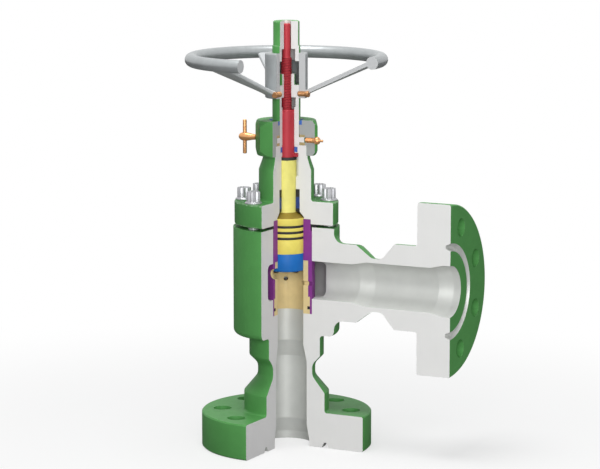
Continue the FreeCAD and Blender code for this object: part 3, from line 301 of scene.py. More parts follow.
class Shade:
    """A procedural material or world, made from expressions on its own coordinates."""

    def __init__(self, name, world=None):
        self.owner = world or bpy.data.materials.new(FINISH + name)
        self.owner.use_nodes = True
        self.nodes = self.owner.node_tree.nodes
        self.links = self.owner.node_tree.links
        self.nodes.clear()
        self.output = "ShaderNodeOutputWorld" if world else "ShaderNodeOutputMaterial"
        self.place = self.node("ShaderNodeTexCoord", {}, {}, "Object")
        self.x, self.y, self.z = (
            self.node("ShaderNodeSeparateXYZ", {}, [self.place], axis) for axis in "XYZ")

    def node(self, kind, settings, inputs, output=0):
        """Adds a node: its settings first, then the values or links of its sockets."""
        added = self.nodes.new(kind)
        for name, setting in settings.items():
            setattr(added, name, setting)
        pairs = inputs.items() if isinstance(inputs, dict) else enumerate(inputs)
        for name, given in pairs:
            if isinstance(given, Value):
                self.links.new(given.socket, added.inputs[name])
            else:
                added.inputs[name].default_value = given
        return Value(self, added.outputs[output]) if added.outputs else None

    def noise(self, size, detail=2.0, place=None):
        """Cloudy noise from 0 to 1, with features of about the given size in metres."""
        return self.node("ShaderNodeTexNoise", {}, {
            "Vector": place or self.place, "Scale": 1 / size, "Detail": detail}, "Fac")

    def stretched(self, along, across):
        """Coordinates for noise that is long along Z and short across it."""
        return self.node("ShaderNodeMapping", {}, {
            "Vector": self.place, "Scale": (1 / across, 1 / across, 1 / along)}, "Vector")

    def radius(self, level=None):
        """Distance from the stem's axis, or from a line along X at a level."""
        if level is None:
            return (self.x * self.x + self.y * self.y).maths("SQRT")
        rise = self.z - level
        return (self.y * self.y + rise * rise).maths("SQRT")

    def ripples(self, distance, pitch):
        """Waves from 0 to 1 along a distance, once in each pitch."""
        return (distance * (FULL_TURN / pitch)).maths("SINE") * 0.5 + 0.5

    def mix(self, factor, first, second):
        """Mixes two colours."""
        settings = {"data_type": "RGBA"}
        colours = [given if isinstance(given, Value) else (*given, 1) for given in (first, second)]
        return self.node("ShaderNodeMix", settings, {
            "Factor": factor, 6: colours[0], 7: colours[1]}, 2)

    def bump(self, height, distance, strength=1.0, under=None):
        """Turns a height from 0 to 1 into a bump of the given depth."""
        inputs = {"Height": height, "Distance": distance, "Strength": strength}
        if under is not None:
            inputs["Normal"] = under
        return self.node("ShaderNodeBump", {}, inputs, "Normal")

    def surface(self, **sockets):
        """Finishes the material with the principled shader."""
        inputs = {name.replace("_", " "): given for name, given in sockets.items()}
        return self.end(self.node("ShaderNodeBsdfPrincipled", {}, inputs, "BSDF"))

    def ray(self, *kinds):
        """1 where a ray is of one of the kinds, such as Camera, and 0 elsewhere."""
        first, *others = (
            self.node("ShaderNodeLightPath", {}, {}, f"Is {kind} Ray") for kind in kinds)
        for other in others:
            first = first.maths("MAXIMUM", other)
        return first

    def end(self, shader):
        """Links a shader to the output and returns the material or world."""
        self.node(self.output, {}, {"Surface": shader})
        return self.owner


def dimmed(colour, share):
    """A colour made darker or lighter by a share."""
    return tuple(min(1.0, channel * share) for channel in colour)


# Finishes


def enamel(name, colour):
    """Sprayed enamel on forged steel: orange peel, soft unevenness, a little dust, and pale broken
    edges that are partly wear and partly a painted highlight.
    """
    shade = Shade(name)
    forging = shade.noise(34 * MM, 3)
    peel = shade.noise(1.6 * MM, 2)
    dust = shade.noise(9 * MM, 5)
    tone = shade.mix(forging, dimmed(colour, 0.86), dimmed(colour, 1.12))
    dusted = shade.mix(dust.between(0.55, 0.8) * 0.22, tone, dimmed(colour, 0.72))
    bevel_mark = shade.node("ShaderNodeAttribute", {"attribute_name": "edge"}, {}, "Fac")
    # Pale green on the broken edges: partly wear, partly a painted highlight.
    edge_wear_and_highlight = bevel_mark * shade.noise(4 * MM, 4).between(0.35, 0.62) * 0.55
    lit = shade.mix(edge_wear_and_highlight, dusted, (0.62, 0.74, 0.6))
    height = forging * 0.6 + peel * 0.12
    return shade.surface(
        Base_Color=lit, Roughness=dust * 0.16 + 0.36, Metallic=0.0, Specular_IOR_Level=0.08,
        Normal=shade.bump(height, 0.5 * MM, 0.5))


def section_face(name, colour):
    """Ground section face: fine straight marks and a faint cloudiness."""
    shade = Shade(name)
    across = shade.x + shade.y
    marks = shade.ripples(across * 0.35 + shade.z + shade.noise(20 * MM) * (2 * MM), 1.1 * MM)
    scratches = shade.noise(1.0, 3, shade.stretched(70 * MM, 0.6 * MM))
    clouds = shade.noise(26 * MM, 3)
    tone = shade.mix(clouds, dimmed(colour, 0.965), dimmed(colour, 1.02))
    lined = shade.mix(scratches.between(0.5, 0.75) * 0.12, tone, dimmed(colour, 0.82))
    height = marks * 0.25 + scratches * 0.75
    return shade.surface(
        Base_Color=lined, Roughness=clouds * 0.12 + 0.46, Metallic=0.0, Specular_IOR_Level=0.35,
        Normal=shade.bump(height, 0.04 * MM, 0.5))


def bored_steel(name, colour, level=None):
    """Bored steel: rings left by the tool, and streaks along the bore."""
    shade = Shade(name)
    along = shade.z if level is None else shade.x
    rings = shade.ripples(along + shade.noise(30 * MM) * (1.2 * MM), 0.9 * MM)
    stains = shade.noise(22 * MM, 4)
    tone = shade.mix(stains, dimmed(colour, 0.9), dimmed(colour, 1.06))
    return shade.surface(
        Base_Color=tone, Metallic=0.2, Roughness=stains * 0.14 + 0.36,
        Normal=shade.bump(rings, 0.05 * MM, 0.5))


def turned_metal(name, colour, metallic, roughness, level=None, gloss=0.5):
    """Metal turned in a lathe: fine grooves round its axis and a soft tarnish."""
    shade = Shade(name)
    along = shade.z if level is None else shade.x
    grooves = shade.ripples(along + shade.radius(level) * 0.8, 0.5 * MM)
    tarnish = shade.noise(6 * MM, 4)
    grain = shade.noise(0.8 * MM, 2)
    tone = shade.mix(tarnish, dimmed(colour, 0.82), dimmed(colour, 1.08))
    spotted = shade.mix(grain.between(0.6, 0.8) * 0.2, tone, dimmed(colour, 0.6))
    height = grooves * 0.7 + grain * 0.3
    return shade.surface(
        Base_Color=spotted, Metallic=metallic, Roughness=tarnish * 0.2 + roughness,
        Specular_IOR_Level=gloss, Normal=shade.bump(height, 0.03 * MM, 0.5))


def groove_painted_shade(shade, thread):
    """1 in the grooves of a thread, which get painted shade, and 0 on its crests and on plain
    stretches.
    """
    radius, fade = shade.radius(), 0.1 * MM
    floor = thread.crest - thread.depth
    return radius.between(floor - 4 * fade, floor - 3 * fade) * (
        1 - radius.between(floor + fade, thread.crest - fade))


def satin_colour(name, colour, metallic=0.0, thread=None):
    """Satin colour on a turned part: the lathe's grooves show faintly through it, and a thread's
    grooves get painted shade.
    """
    shade = Shade(name)
    grooves = shade.ripples(shade.z + shade.radius() * 0.9, 0.8 * MM)
    clouds = shade.noise(12 * MM, 4)
    specks = shade.noise(1.1 * MM, 3)
    tone = shade.mix(clouds, dimmed(colour, 0.87), dimmed(colour, 1.1))
    specks_and_groove_shade = shade.mix(specks.between(0.62, 0.82) * 0.25, tone, dimmed(colour, 0.7))
    if thread:
        # Painted shade darkens the thread's grooves.
        specks_and_groove_shade = shade.mix(groove_painted_shade(shade, thread) * 0.55, specks_and_groove_shade, dimmed(colour, 0.2))
    height = grooves * 0.6 + specks * 0.4
    return shade.surface(
        Base_Color=specks_and_groove_shade, Metallic=metallic, Roughness=clouds * 0.16 + 0.36,
        Specular_IOR_Level=0.22, Normal=shade.bump(height, 0.05 * MM, 0.5))


def moulded_rubber(name, colour):
    """Moulded rubber: dull, with fine grain and a little bloom."""
    shade = Shade(name)
    grain = shade.noise(0.5 * MM, 3)
    bloom = shade.noise(5 * MM, 4)
    tone = shade.mix(bloom.between(0.45, 0.8) * 0.35, colour, dimmed(colour, 2.2))
    return shade.surface(
        Base_Color=tone, Roughness=bloom * 0.2 + 0.5, Metallic=0.0,
        Normal=shade.bump(grain, 0.06 * MM, 0.6))


def cast_enamel(name, colour, metallic):
    """Grey enamel on a sand casting: a grainy skin under a smooth, even coat."""
    shade = Shade(name)
    sand = shade.noise(1.3 * MM, 3)
    lumps = shade.noise(18 * MM, 3)
    dust = shade.noise(7 * MM, 5)
    tone = shade.mix(lumps, dimmed(colour, 0.86), dimmed(colour, 1.12))
    dusted = shade.mix(dust.between(0.52, 0.8) * 0.3, tone, dimmed(colour, 0.7))
    height = lumps * 0.8 + sand * 0.2
    return shade.surface(
        Base_Color=dusted, Metallic=metallic, Roughness=dust * 0.12 + 0.34,
        Specular_IOR_Level=0.3, Normal=shade.bump(height, 0.06 * MM, 0.5))


def make_finishes(colours, thread):
    """Makes every finish by its name."""
    enamel("enamel", colours.enamel)
    section_face("right_section", colours.right_section)
    # The outer side's cut faces: the section's pale grey a little darker, painted shade.
    section_face("left_section_painted_shade", colours.left_section_painted_shade)
    section_face("nut_section", colours.nut_section)
    # The nut's outer cut faces: its section grey a little darker, painted shade.
    section_face("nut_left_section_painted_shade", dimmed(colours.nut_section, 0.95))
    section_face("wheel_section", colours.wheel_section)
    bored_steel("outlet_bore", colours.bore)
    bored_steel("inlet_bore", colours.bore, INLET_AXIS)
    cast_enamel("wheel_enamel", colours.wheel, 0.5)
    # The spokes' paler grey is painted light.
    cast_enamel("spoke_painted_light", colours.spoke, 0.08)
    turned_metal("zinc", colours.zinc, metallic=0.5, roughness=0.26)
    turned_metal("brass", colours.brass, metallic=0.7, roughness=0.24, level=DRIVE_LEVEL)
    # The wheel screws' brass, darkened to six tenths.
    turned_metal("darker_brass", dimmed(colours.brass, 0.6), metallic=0.6, roughness=0.28)
    turned_metal("bronze", colours.bronze, metallic=0.4, roughness=0.32)
    # The gasket's near-black is painted shade of the gap between the body and the bonnet.
    turned_metal("gasket_painted_shade", dimmed(colours.zinc, 0.08), metallic=0.0, roughness=0.72,
                 gloss=0.05)
    satin_colour("stem_red", colours.stem, metallic=0.1, thread=thread)
    satin_colour("rod_yellow", colours.rod)
    satin_colour("plug_gold", colours.plug)
    satin_colour("cone_gold", colours.cone, metallic=0.3)
    satin_colour("tip_blue", colours.tip)
    satin_colour("sleeve_purple", colours.sleeve)
    # The sleeve's outside: its purple darkened, painted shade of the gallery round it.
    satin_colour("sleeve_painted_shade", dimmed(colours.sleeve, 0.7))
    satin_colour("cage_tan", colours.cage)
    moulded_rubber("black_rubber", colours.rubber)
    moulded_rubber("packing_navy", colours.packing)
    moulded_rubber("seal_blue", colours.seal)


# Modelling helpers


def outline(bm, corners):
    """Adds a closed outline in the XZ plane from pairs of radius and height."""
    return bm.faces.new([bm.verts.new((across, 0, up)) for across, up in corners])


def face_outwards(bm):
    """Points every face of a closed shape outwards."""
    bmesh.ops.recalc_face_normals(bm, faces=bm.faces)


def close_shape(bm):
    """Merges a new shape's doubles and points its faces outwards."""
    bmesh.ops.remove_doubles(bm, verts=bm.verts, dist=MERGE)
    face_outwards(bm)


def turned(corners, steps=96):
    """A line turned once round Z, from pairs of radius and height: a closed shape or a ring."""
    bm = bmesh.new()
    verts = [bm.verts.new((across, 0, up)) for across, up in corners]
    edges = [bm.edges.new(pair) for pair in zip(verts, verts[1:])]
    bmesh.ops.spin(bm, geom=verts + edges, cent=(0, 0, 0), axis=(0, 0, 1), angle=FULL_TURN,
                   steps=steps, use_merge=True)
    close_shape(bm)
    return bm


def turn_kept(bm, corners, steps=72, rise=0.0):
    """Turns a closed outline through the three quarters that are kept."""
    face = outline(bm, corners)
    bmesh.ops.spin(bm, geom=[face], cent=(0, 0, 0), axis=(0, 0, 1),
                   angle=KEPT_QUARTERS, steps=steps, dvec=(0, 0, rise / steps))


def arc(centre_across, centre_up, radius, start, end, steps=6):
    """Points of an arc in an outline, from start to end in degrees."""
    for step in range(steps + 1):
        angle = math.radians(start + (end - start) * step / steps)
        yield (centre_across + radius * math.cos(angle), centre_up + radius * math.sin(angle))


def rounded(inner, outer, bottom, top, edge, steps=6):
    """Outline of a turned block whose outer corners are round."""
    return [(inner, bottom), *arc(outer - edge, bottom + edge, edge, -90, 0, steps),
            *arc(outer - edge, top - edge, edge, 0, 90, steps), (inner, top)]


def ridge_outline(foot, crest, level, pitch, shares):
    """Outline of one ridge of a thread, from pairs of radius and height."""
    return [(across, level + pitch * share)
            for across, share in zip((foot, crest, crest, foot), shares)]


def ridges(start, end, pitch, *turns):
    """Outline of a thread: in each pitch, every radius at its share of the pitch."""
    level = start
    while level < end:
        for radius, share in turns:
            yield (radius, level + pitch * share)
        level += pitch


def mesh_of(name, bm):
    """Turns a shape into a mesh and frees it."""
    mesh = bpy.data.meshes.new(name)
    bm.to_mesh(mesh)
    bm.free()
    return mesh


def put_in_scene(name, data):
    """Makes an object of a mesh, lamp or camera and adds it to the scene."""
    added = bpy.data.objects.new(name, data)
    bpy.context.scene.collection.objects.link(added)
    return added


def take_in(bm, part):
    """Adds a finished part to a shape and frees it."""
    mesh = mesh_of("part", part)
    bm.from_mesh(mesh)
    bpy.data.meshes.remove(mesh)


def items_of(geometry, kind):
    """The vertices, edges or faces of an operator's result."""
    return [item for item in geometry if isinstance(item, kind)]


def lay_along_x(bm, level, forward=True):
    """Lays a shape turned about Z along the X axis at a level: its heights become distances."""
    laid = Matrix.Rotation(math.radians(90 if forward else -90), 4, "Y")
    bmesh.ops.transform(bm, matrix=Matrix.Translation((0, 0, level)) @ laid, verts=bm.verts)


def corner_edges(bm, angle):
    """Finds the edges whose two faces meet at more than an angle."""
    return [edge for edge in bm.edges
            if edge.is_manifold and edge.calc_face_angle(0) > angle]


def bevel(bm, edges, width, clamped=False):
    """Breaks edges with two strips of faces and returns the new faces."""
    return bmesh.ops.bevel(bm, geom=edges, offset=width, offset_type="OFFSET", segments=2,
                           profile=0.5, affect="EDGES", material=-1,
                           clamp_overlap=clamped)["faces"]


def break_edges(bm, width, angle):
    """Bevels the sharp edges and marks the new faces, which the enamel paints pale as partly wear
    and partly a painted highlight.
    """
    bevel_mark = bm.faces.layers.float.get("edge") or bm.faces.layers.float.new("edge")
    for face in bevel(bm, corner_edges(bm, angle), width, clamped=True):
        face[bevel_mark] = 1.0


def split(bm, place, outwards, trimmed=False):
    """Cuts a shape along a plane, and returns what lies on it."""
    return bmesh.ops.bisect_plane(bm, geom=[*bm.verts, *bm.edges, *bm.faces], plane_co=place,
                                  plane_no=outwards, clear_outer=trimmed)["geom_cut"]


def trim(bm, place, outwards):
    """Cuts off what lies beyond a plane, closes the cut and returns the new faces."""
    rims = items_of(split(bm, place, outwards, trimmed=True), bmesh.types.BMEdge)
    return bmesh.ops.holes_fill(bm, edges=rims)["faces"]


def cut_by_section(bm, direction):
    """Trims an arm by the cut plane that it reaches, a hair behind the other cut faces."""
    behind = 2 * ON_PLANE
    faces = []
    if direction.x > 0:
        faces = trim(bm, (0, behind, 0), (0, -1, 0))
    elif direction.y < 0:
        faces = trim(bm, (-behind, 0, 0), (1, 0, 0))
    for face in faces:
        face.material_index = WHEEL_CUT


def squarely_flat(face):
    """True for a machined flat that is square to one of the axes."""
    return max(abs(share) for share in face.normal) > SQUARE


def bore_step(edge):
    """True where two stretches of one bore meet that lean differently."""
    kinds = {face.material_index for face in edge.link_faces}
    if kinds not in ({BORE}, {SIDE_BORE}):
        return False
    first, second = (face.normal.z if kinds == {BORE} else face.normal.x
                     for face in edge.link_faces)
    return abs(first - second) > BORE_LEAN


def shade_smoothly(bm, corner):
    """Smooth shading all over, but for corners, machined flats and the steps of a bore."""
    for face in bm.faces:
        face.smooth = True
    for edge in bm.edges:
        if edge.is_manifold:
            flat = any(squarely_flat(face) for face in edge.link_faces)
            edge.smooth = not (flat or edge.calc_face_angle() > corner or bore_step(edge))


def finish_piece(name, bm, body, finishes, replaced=()):
    """Makes a mesh object of the shape, with its finishes, body and slot."""
    shade_smoothly(bm, valve().edges.corner)
    piece = put_in_scene(name, mesh_of(name, bm))
    for kind in finishes:
        piece.data.materials.append(finish(kind))
    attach(piece, body)
    if replaced:
        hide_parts(*replaced)
    return piece


def on_right_section(face):
    """True for a cut face on the inlet's side of the stem."""
    return all(abs(vert.co.y) < ON_PLANE and vert.co.x > -ON_PLANE for vert in face.verts)


def on_left_section(face):
    """True for a cut face on the other side."""
    return all(abs(vert.co.x) < ON_PLANE and vert.co.y < ON_PLANE for vert in face.verts)


def reach_of(face, level=None):
    """How far a face gets from the stem's axis, or from the inlet's axis at a level."""
    if level is None:
        return max(math.hypot(vert.co.x, vert.co.y) for vert in face.verts)
    return max(math.hypot(vert.co.y, vert.co.z - level) for vert in face.verts)


def faces_inwards(face, level=None):
    """True for a face that looks at the stem's axis, or at the inlet's axis at a level."""
    middle = face.calc_center_median()
    if level is None:
        outwards = Vector((middle.x, middle.y, 0))
    else:
        outwards = Vector((0, middle.y, middle.z - level))
    return face.normal.dot(outwards.normalized()) < INWARDS


def shaped_copy(node, width, rule):
    """Copies a casting's mesh, merges it, gives each face its finish and breaks its edges."""
    bm = bmesh.new()
    bm.from_mesh(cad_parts[node].data)
    bmesh.ops.remove_doubles(bm, verts=bm.verts, dist=MERGE)
    bmesh.ops.dissolve_limit(bm, angle_limit=LEVEL, verts=bm.verts, edges=bm.edges)
    for face in bm.faces:
        if on_right_section(face):
            face.material_index = RIGHT
        elif on_left_section(face):
            face.material_index = LEFT
        else:
            face.material_index = rule(face)
    if width:
        break_edges(bm, width, valve().edges.corner)
    return bm


def dress(node, name, body, width, rule, finishes):
    """Puts a finished copy of a casting in the node's place."""
    finish_piece(name, shaped_copy(node, width, rule), body, finishes, [node])


# Rules that say which finish a face has, by its place in the piece's list of finishes. A reach
# is how far the widest machined bore of a casing gets from its axis.

GALLERY_REACH = 62.6 * MM
BORE_REACH = 40.5 * MM
BONNET_REACH = 42.5 * MM
NUT_REACH = 35.5 * MM
BUSHING_REACH = 16.5 * MM
CAP_REACH = 15.6 * MM
GROOVE_INNER, GROOVE_OUTER, GROOVE_DEPTH = 62 * MM, 75 * MM, 8.5 * MM


def body_rule(face):
    """Paint outside, steel in both bores, the gallery and the ring grooves."""
    middle = face.calc_center_median()
    from_stem = reach_of(face)
    from_inlet = reach_of(face, INLET_AXIS)
    widest = GALLERY_REACH if middle.z > SEAT_LEVEL - MM else BORE_REACH
    if from_stem < widest and middle.z < BOWL_TOP + MM and faces_inwards(face):
        return BORE
    if from_inlet < BORE_REACH and middle.x > BORE_REACH and faces_inwards(face, INLET_AXIS):
        return SIDE_BORE
    if GROOVE_INNER < from_inlet < GROOVE_OUTER and \
            INLET_FACE - GROOVE_DEPTH < middle.x < INLET_FACE - ON_PLANE:
        return SIDE_BORE
    if GROOVE_INNER < from_stem < GROOVE_OUTER and ON_PLANE < middle.z < GROOVE_DEPTH:
        return BORE
    return PAINT


def casing_rule(widest):
    """Paint outside, steel on what looks at the stem and lies within the widest bore."""
    def rule(face):
        return BORE if reach_of(face) < widest and faces_inwards(face) else PAINT
    return rule


def plain_rule(face):
    """One finish outside the cut faces."""
    return PAINT


class ValveOperator:
    """What the valve's operators share."""

    bl_options = {"REGISTER", "UNDO"}


class VALVE_OT_body(ValveOperator, bpy.types.Operator):
    """Finish the forged body with its two flanges"""

    bl_idname = "valve.body"
    bl_label = "Valve body"

    def execute(self, context):
        dress("valve_body", "forged_body", "valve", valve().edges.casing,
              body_rule, ["enamel", "right_section", "left_section_painted_shade", "outlet_bore", "inlet_bore"])
        return {"FINISHED"}


class VALVE_OT_casings(ValveOperator, bpy.types.Operator):
    """Finish the bonnet, its nut, the drive bushing and the cap"""

    bl_idname = "valve.casings"
    bl_label = "Bonnet, nut, bushing and cap"

    def execute(self, context):
        edges = valve().edges
        white = ["enamel", "right_section", "left_section_painted_shade", "outlet_bore"]
        grey = ["enamel", "nut_section", "nut_left_section_painted_shade", "outlet_bore"]
        rows = (
            ("bonnet", "bonnet_casting", "valve", BONNET_REACH, edges.casing, white),
            ("bonnet_nut", "hexagon_nut", "valve", NUT_REACH, edges.casing, grey),
            ("drive_bushing", "turned_bushing", "drive", BUSHING_REACH, edges.fine, white),
            ("top_cap", "turned_cap", "drive", CAP_REACH, edges.fine, white),
        )
        for node, name, body, reach, width, finishes in rows:
            dress(node, name, body, width, casing_rule(reach), finishes)
        return {"FINISHED"}


class VALVE_OT_cage(ValveOperator, bpy.types.Operator):
    """Finish the cage and the sleeve that holds it down"""

    bl_idname = "valve.cage"
    bl_label = "Cage and sleeve"

    def execute(self, context):
        fine = valve().edges.fine
        dress("flow_cage", "ported_cage", "valve", fine, plain_rule,
              ["cage_tan"] * 3)
        dress("cage_sleeve", "clamping_sleeve", "valve", fine, plain_rule,
              # The sleeve's outside takes its darkened purple, painted shade.
              ["sleeve_painted_shade", "sleeve_purple", "sleeve_purple"])
        return {"FINISHED"}


class VALVE_OT_plug(ValveOperator, bpy.types.Operator):
    """Finish the plug, its tip and its three rings"""

    bl_idname = "valve.plug"
    bl_label = "Plug, tip and rings"

    def execute(self, context):
        fine = valve().edges.fine
        shoulder_rise, cone_height = 2 * MM, 8 * MM
        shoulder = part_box("cage_sleeve")[1].z + shoulder_rise
        cone_top = shoulder + cone_height

        def plug_rule(face):
            """Gold body, dark cone, yellow rod."""
            level = face.calc_center_median().z
            if level < shoulder:
                return PAINT
            return BORE if level < cone_top else SIDE_BORE

        dress("plug", "turned_plug", "stem_and_plug", fine, plug_rule,
              ["plug_gold"] * 3 + ["cone_gold", "rod_yellow"])
        dress("plug_tip", "hard_tip", "stem_and_plug", fine, plain_rule,
              ["tip_blue"] * 3)
        for number in (1, 2, 3):
            self.add_ring(f"seal_ring_{number}", f"plug_ring_{number}")
        return {"FINISHED"}

    @staticmethod
    def add_ring(name, node):
        """A rubber ring with a rounded face."""
        low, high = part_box(node)
        depth, edge = 3 * MM, 0.9 * MM
        inner = high.x - depth
        bm = turned([*rounded(inner, high.x, low.z, high.z, edge), (inner, low.z)])
        finish_piece(name, bm, "stem_and_plug", ["black_rubber"], [node])


class VALVE_OT_stem(ValveOperator, bpy.types.Operator):
    """Model the stem with its left-hand thread"""

    bl_idname = "valve.stem"
    bl_label = "Stem"

    def execute(self, context):
        thread = valve().thread
        low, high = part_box("stem")
        guide = high.x
        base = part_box("stem_ring")[1].z
        tail_base = high.z - thread.tail_length
        thread_base = tail_base - thread.length
        core = thread.crest - thread.depth
        edge = MM
        bm = turned([
            (0, low.z), (thread.root, low.z), (thread.root, base), (guide - edge / 4, base),
            (guide, base + edge / 4), (guide, thread_base - edge), (guide - edge, thread_base),
            (core, thread_base), (core, tail_base), (thread.tail, tail_base + edge),
            (thread.tail, high.z - edge), (thread.tail - edge, high.z), (0, high.z)], 64)
        self.cut_thread(bm, thread, thread_base, tail_base)
        face_outwards(bm)
        finish_piece("threaded_stem", bm, "stem_and_plug", ["stem_red"], ["stem"])
        return {"FINISHED"}

    @staticmethod
    def cut_thread(bm, thread, bottom, top):
        """Winds each start of the thread as a ridge, cut off level at both ends."""
        pitch = thread.lead / thread.starts
        sunk = 0.1 * MM
        core = thread.crest - thread.depth - sunk
        turns = math.ceil((top - bottom) / thread.lead) + 1
        steps = THREAD_STEPS * turns
        ridge = bmesh.new()
        for start in range(thread.starts):
            level = top + thread.lead / 2 + pitch * start
            face = outline(ridge, ridge_outline(core, thread.crest, level, pitch, STEM_RIDGE))
            bmesh.ops.spin(ridge, geom=[face], cent=(0, 0, 0), axis=(0, 0, 1),
                           angle=FULL_TURN * turns, steps=steps,
                           dvec=(0, 0, -thread.lead * turns / steps))
        face_outwards(ridge)
        trim(ridge, (0, 0, bottom), (0, 0, -1))
        trim(ridge, (0, 0, top), (0, 0, 1))
        take_in(bm, ridge)


class VALVE_OT_bushing_thread(ValveOperator, bpy.types.Operator):
    """Model the bushing's inner thread as the section shows it"""

    bl_idname = "valve.bushing_thread"
    bl_label = "Bushing thread"

    def execute(self, context):
        thread = valve().thread
        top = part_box("drive_bushing")[1].z
        bottom = top - thread.nut_base
        pitch = thread.lead / thread.starts
        wall_gap, crest_gap = 0.14 * MM, 0.12 * MM
        wall = thread.crest + wall_gap
        crest = thread.crest - thread.depth + crest_gap
        rise = -thread.lead * KEPT_QUARTERS / FULL_TURN
        bm = bmesh.new()
        level = top - pitch
        while level + rise > bottom:
            turn_kept(bm, ridge_outline(wall, crest, level, pitch, NUT_RIDGE),
                      steps=THREAD_STEPS, rise=rise)
            level -= pitch
        close_shape(bm)
        finish_piece("bushing_thread", bm, "drive", ["right_section"])
        return {"FINISHED"}


class VALVE_OT_bolts(ValveOperator, bpy.types.Operator):
    """Model the six twelve-point bonnet bolts"""

    bl_idname = "valve.bolts"
    bl_label = "Bonnet bolts"

    def execute(self, context):
        bolt = valve().bolt
        low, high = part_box("bonnet_bolts")
        seat = high.z - bolt.head
        first, apart, spin = 22.5, 45, 11
        bm = bmesh.new()
        for number in range(bolt.count):
            angle = math.radians(first + apart * number)
            place = Matrix.Translation((bolt.circle * math.cos(angle),
                                        bolt.circle * math.sin(angle), seat))
            spun = Matrix.Rotation(math.radians(spin * number), 4, "Z")
            self.add_bolt(bm, bolt, low.z - seat, place @ spun)
        finish_piece("twelve_point_bolts", bm, "valve", ["zinc"], ["bonnet_bolts"])
        return {"FINISHED"}

    @staticmethod
    def add_bolt(bm, bolt, depth, place):
        """Adds one bolt: plain shank, sloped flange and a cupped twelve-point head."""
        rim, sunk, sides = 0.4 * MM, MM, 24
        brim, slope = 1.6 * MM, 0.8 * MM
        piece = turned([
            (0, depth), (bolt.shank - MM, depth), (bolt.shank, depth + MM), (bolt.shank, 0),
            (bolt.flange - rim, 0), (bolt.flange, rim), (bolt.flange, bolt.flange_height - rim),
            (bolt.flange - rim, bolt.flange_height), (bolt.point, bolt.flange_top),
            (0, bolt.flange_top)], 48)
        foot = Matrix.Translation((0, 0, bolt.flange_top - sunk))
        ring = bmesh.ops.create_circle(piece, cap_ends=True, segments=sides, radius=bolt.point,
                                       matrix=foot)
        shrink = bolt.valley / bolt.point
        for index, vert in enumerate(ring["verts"]):
            if index % 2:
                vert.co.x *= shrink
                vert.co.y *= shrink
        base = next(face for face in ring["verts"][0].link_faces if len(face.verts) == sides)
        raised = bmesh.ops.extrude_face_region(piece, geom=[base])["geom"]
        top = items_of(raised, bmesh.types.BMFace)[0]
        bmesh.ops.translate(piece, vec=(0, 0, bolt.head - bolt.flange_top + sunk), verts=top.verts)
        bevel(piece, list(top.edges), bolt.edge)
        crown = max((face for face in piece.faces if face.normal.z > SQUARE),
                    key=lambda face: face.calc_center_median().z)
        bmesh.ops.inset_region(piece, faces=[crown], thickness=brim, use_even_offset=True)
        bmesh.ops.inset_region(piece, faces=[crown], thickness=slope, depth=-bolt.cup,
                               use_even_offset=True)
        face_outwards(piece)
        bmesh.ops.transform(piece, matrix=place, verts=piece.verts)
        take_in(bm, piece)


class VALVE_OT_handwheel(ValveOperator, bpy.types.Operator):
    """Model the handwheel with its hub, flat spokes and round rim"""

    bl_idname = "valve.handwheel"
    bl_label = "Handwheel"

    def execute(self, context):
        wheel = valve().wheel
        low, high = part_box("handwheel")
        reach = high.x - wheel.rim
        sides = 48
        rim = arc(reach, low.z + wheel.rim_rise, wheel.rim, 0, 360 - 360 / sides, sides - 1)
        bm = bmesh.new()
        turn_kept(bm, rounded(wheel.bore, wheel.hub, low.z, high.z, wheel.edge, 4))
        turn_kept(bm, rim, 108)
        close_shape(bm)
        for number in range(wheel.spokes):
            angle = wheel.turn + FULL_TURN * number / wheel.spokes
            self.add_spoke(bm, wheel, low.z, reach, angle)
        for face in bm.faces:
            if on_right_section(face) or on_left_section(face):
                face.material_index = WHEEL_CUT
        finish_piece("cast_handwheel", bm, "drive",
                     ["wheel_enamel", "wheel_section", "spoke_painted_light"], ["handwheel"])
        return {"FINISHED"}

    def add_spoke(self, bm, wheel, base, reach, angle):
        """A flat spoke that widens at the hub and at the rim, with rounded edges."""
        spoke = bmesh.new()
        stations = 12
        root_flare, end_flare, before_end = 0.16, 0.12, 7.33
        start = (wheel.hub + wheel.bore) / 2
        loops = []
        for station in range(stations + 1):
            share = station / stations
            flare = wheel.flare * (max(0.0, 1 - share / root_flare) ** 2
                                   + max(0.0, share / end_flare - before_end) ** 2)
            width = wheel.root_width + (wheel.end_width - wheel.root_width) * share + flare
            height = wheel.root_height + (wheel.end_height - wheel.root_height) * share + flare / 2
            rise = wheel.root_rise + (wheel.end_rise - wheel.root_rise) * share
            across = start + (reach - start) * share
            loops.append(self.add_section(spoke, across, width, height, base + rise))
        for first, second in zip(loops, loops[1:]):
            bmesh.ops.bridge_loops(spoke, edges=first + second)
        bmesh.ops.holes_fill(spoke, edges=loops[0] + loops[-1])
        face_outwards(spoke)
        for face in spoke.faces:
            face.material_index = SPOKE
        bmesh.ops.rotate(spoke, matrix=Matrix.Rotation(angle, 3, "Z"), verts=spoke.verts)
        cut_by_section(spoke, Vector((math.cos(angle), math.sin(angle), 0)))
        take_in(bm, spoke)

    @staticmethod
    def add_section(bm, across, width, height, level):
        """Adds a spoke's rounded section at a distance from the axis and returns its edges."""
        rounding = 0.42
        round_edge = height * rounding
        points = []
        for side, up, start in ((1, 1, 0), (-1, 1, 90), (-1, -1, 180), (1, -1, 270)):
            middle = (side * (width / 2 - round_edge), up * (height / 2 - round_edge))
            points.extend(arc(*middle, round_edge, start, start + 90, 5))
        verts = [bm.verts.new((across, y, level + z)) for y, z in points]
        return [bm.edges.new((verts[index - 1], verts[index])) for index in range(len(verts))]


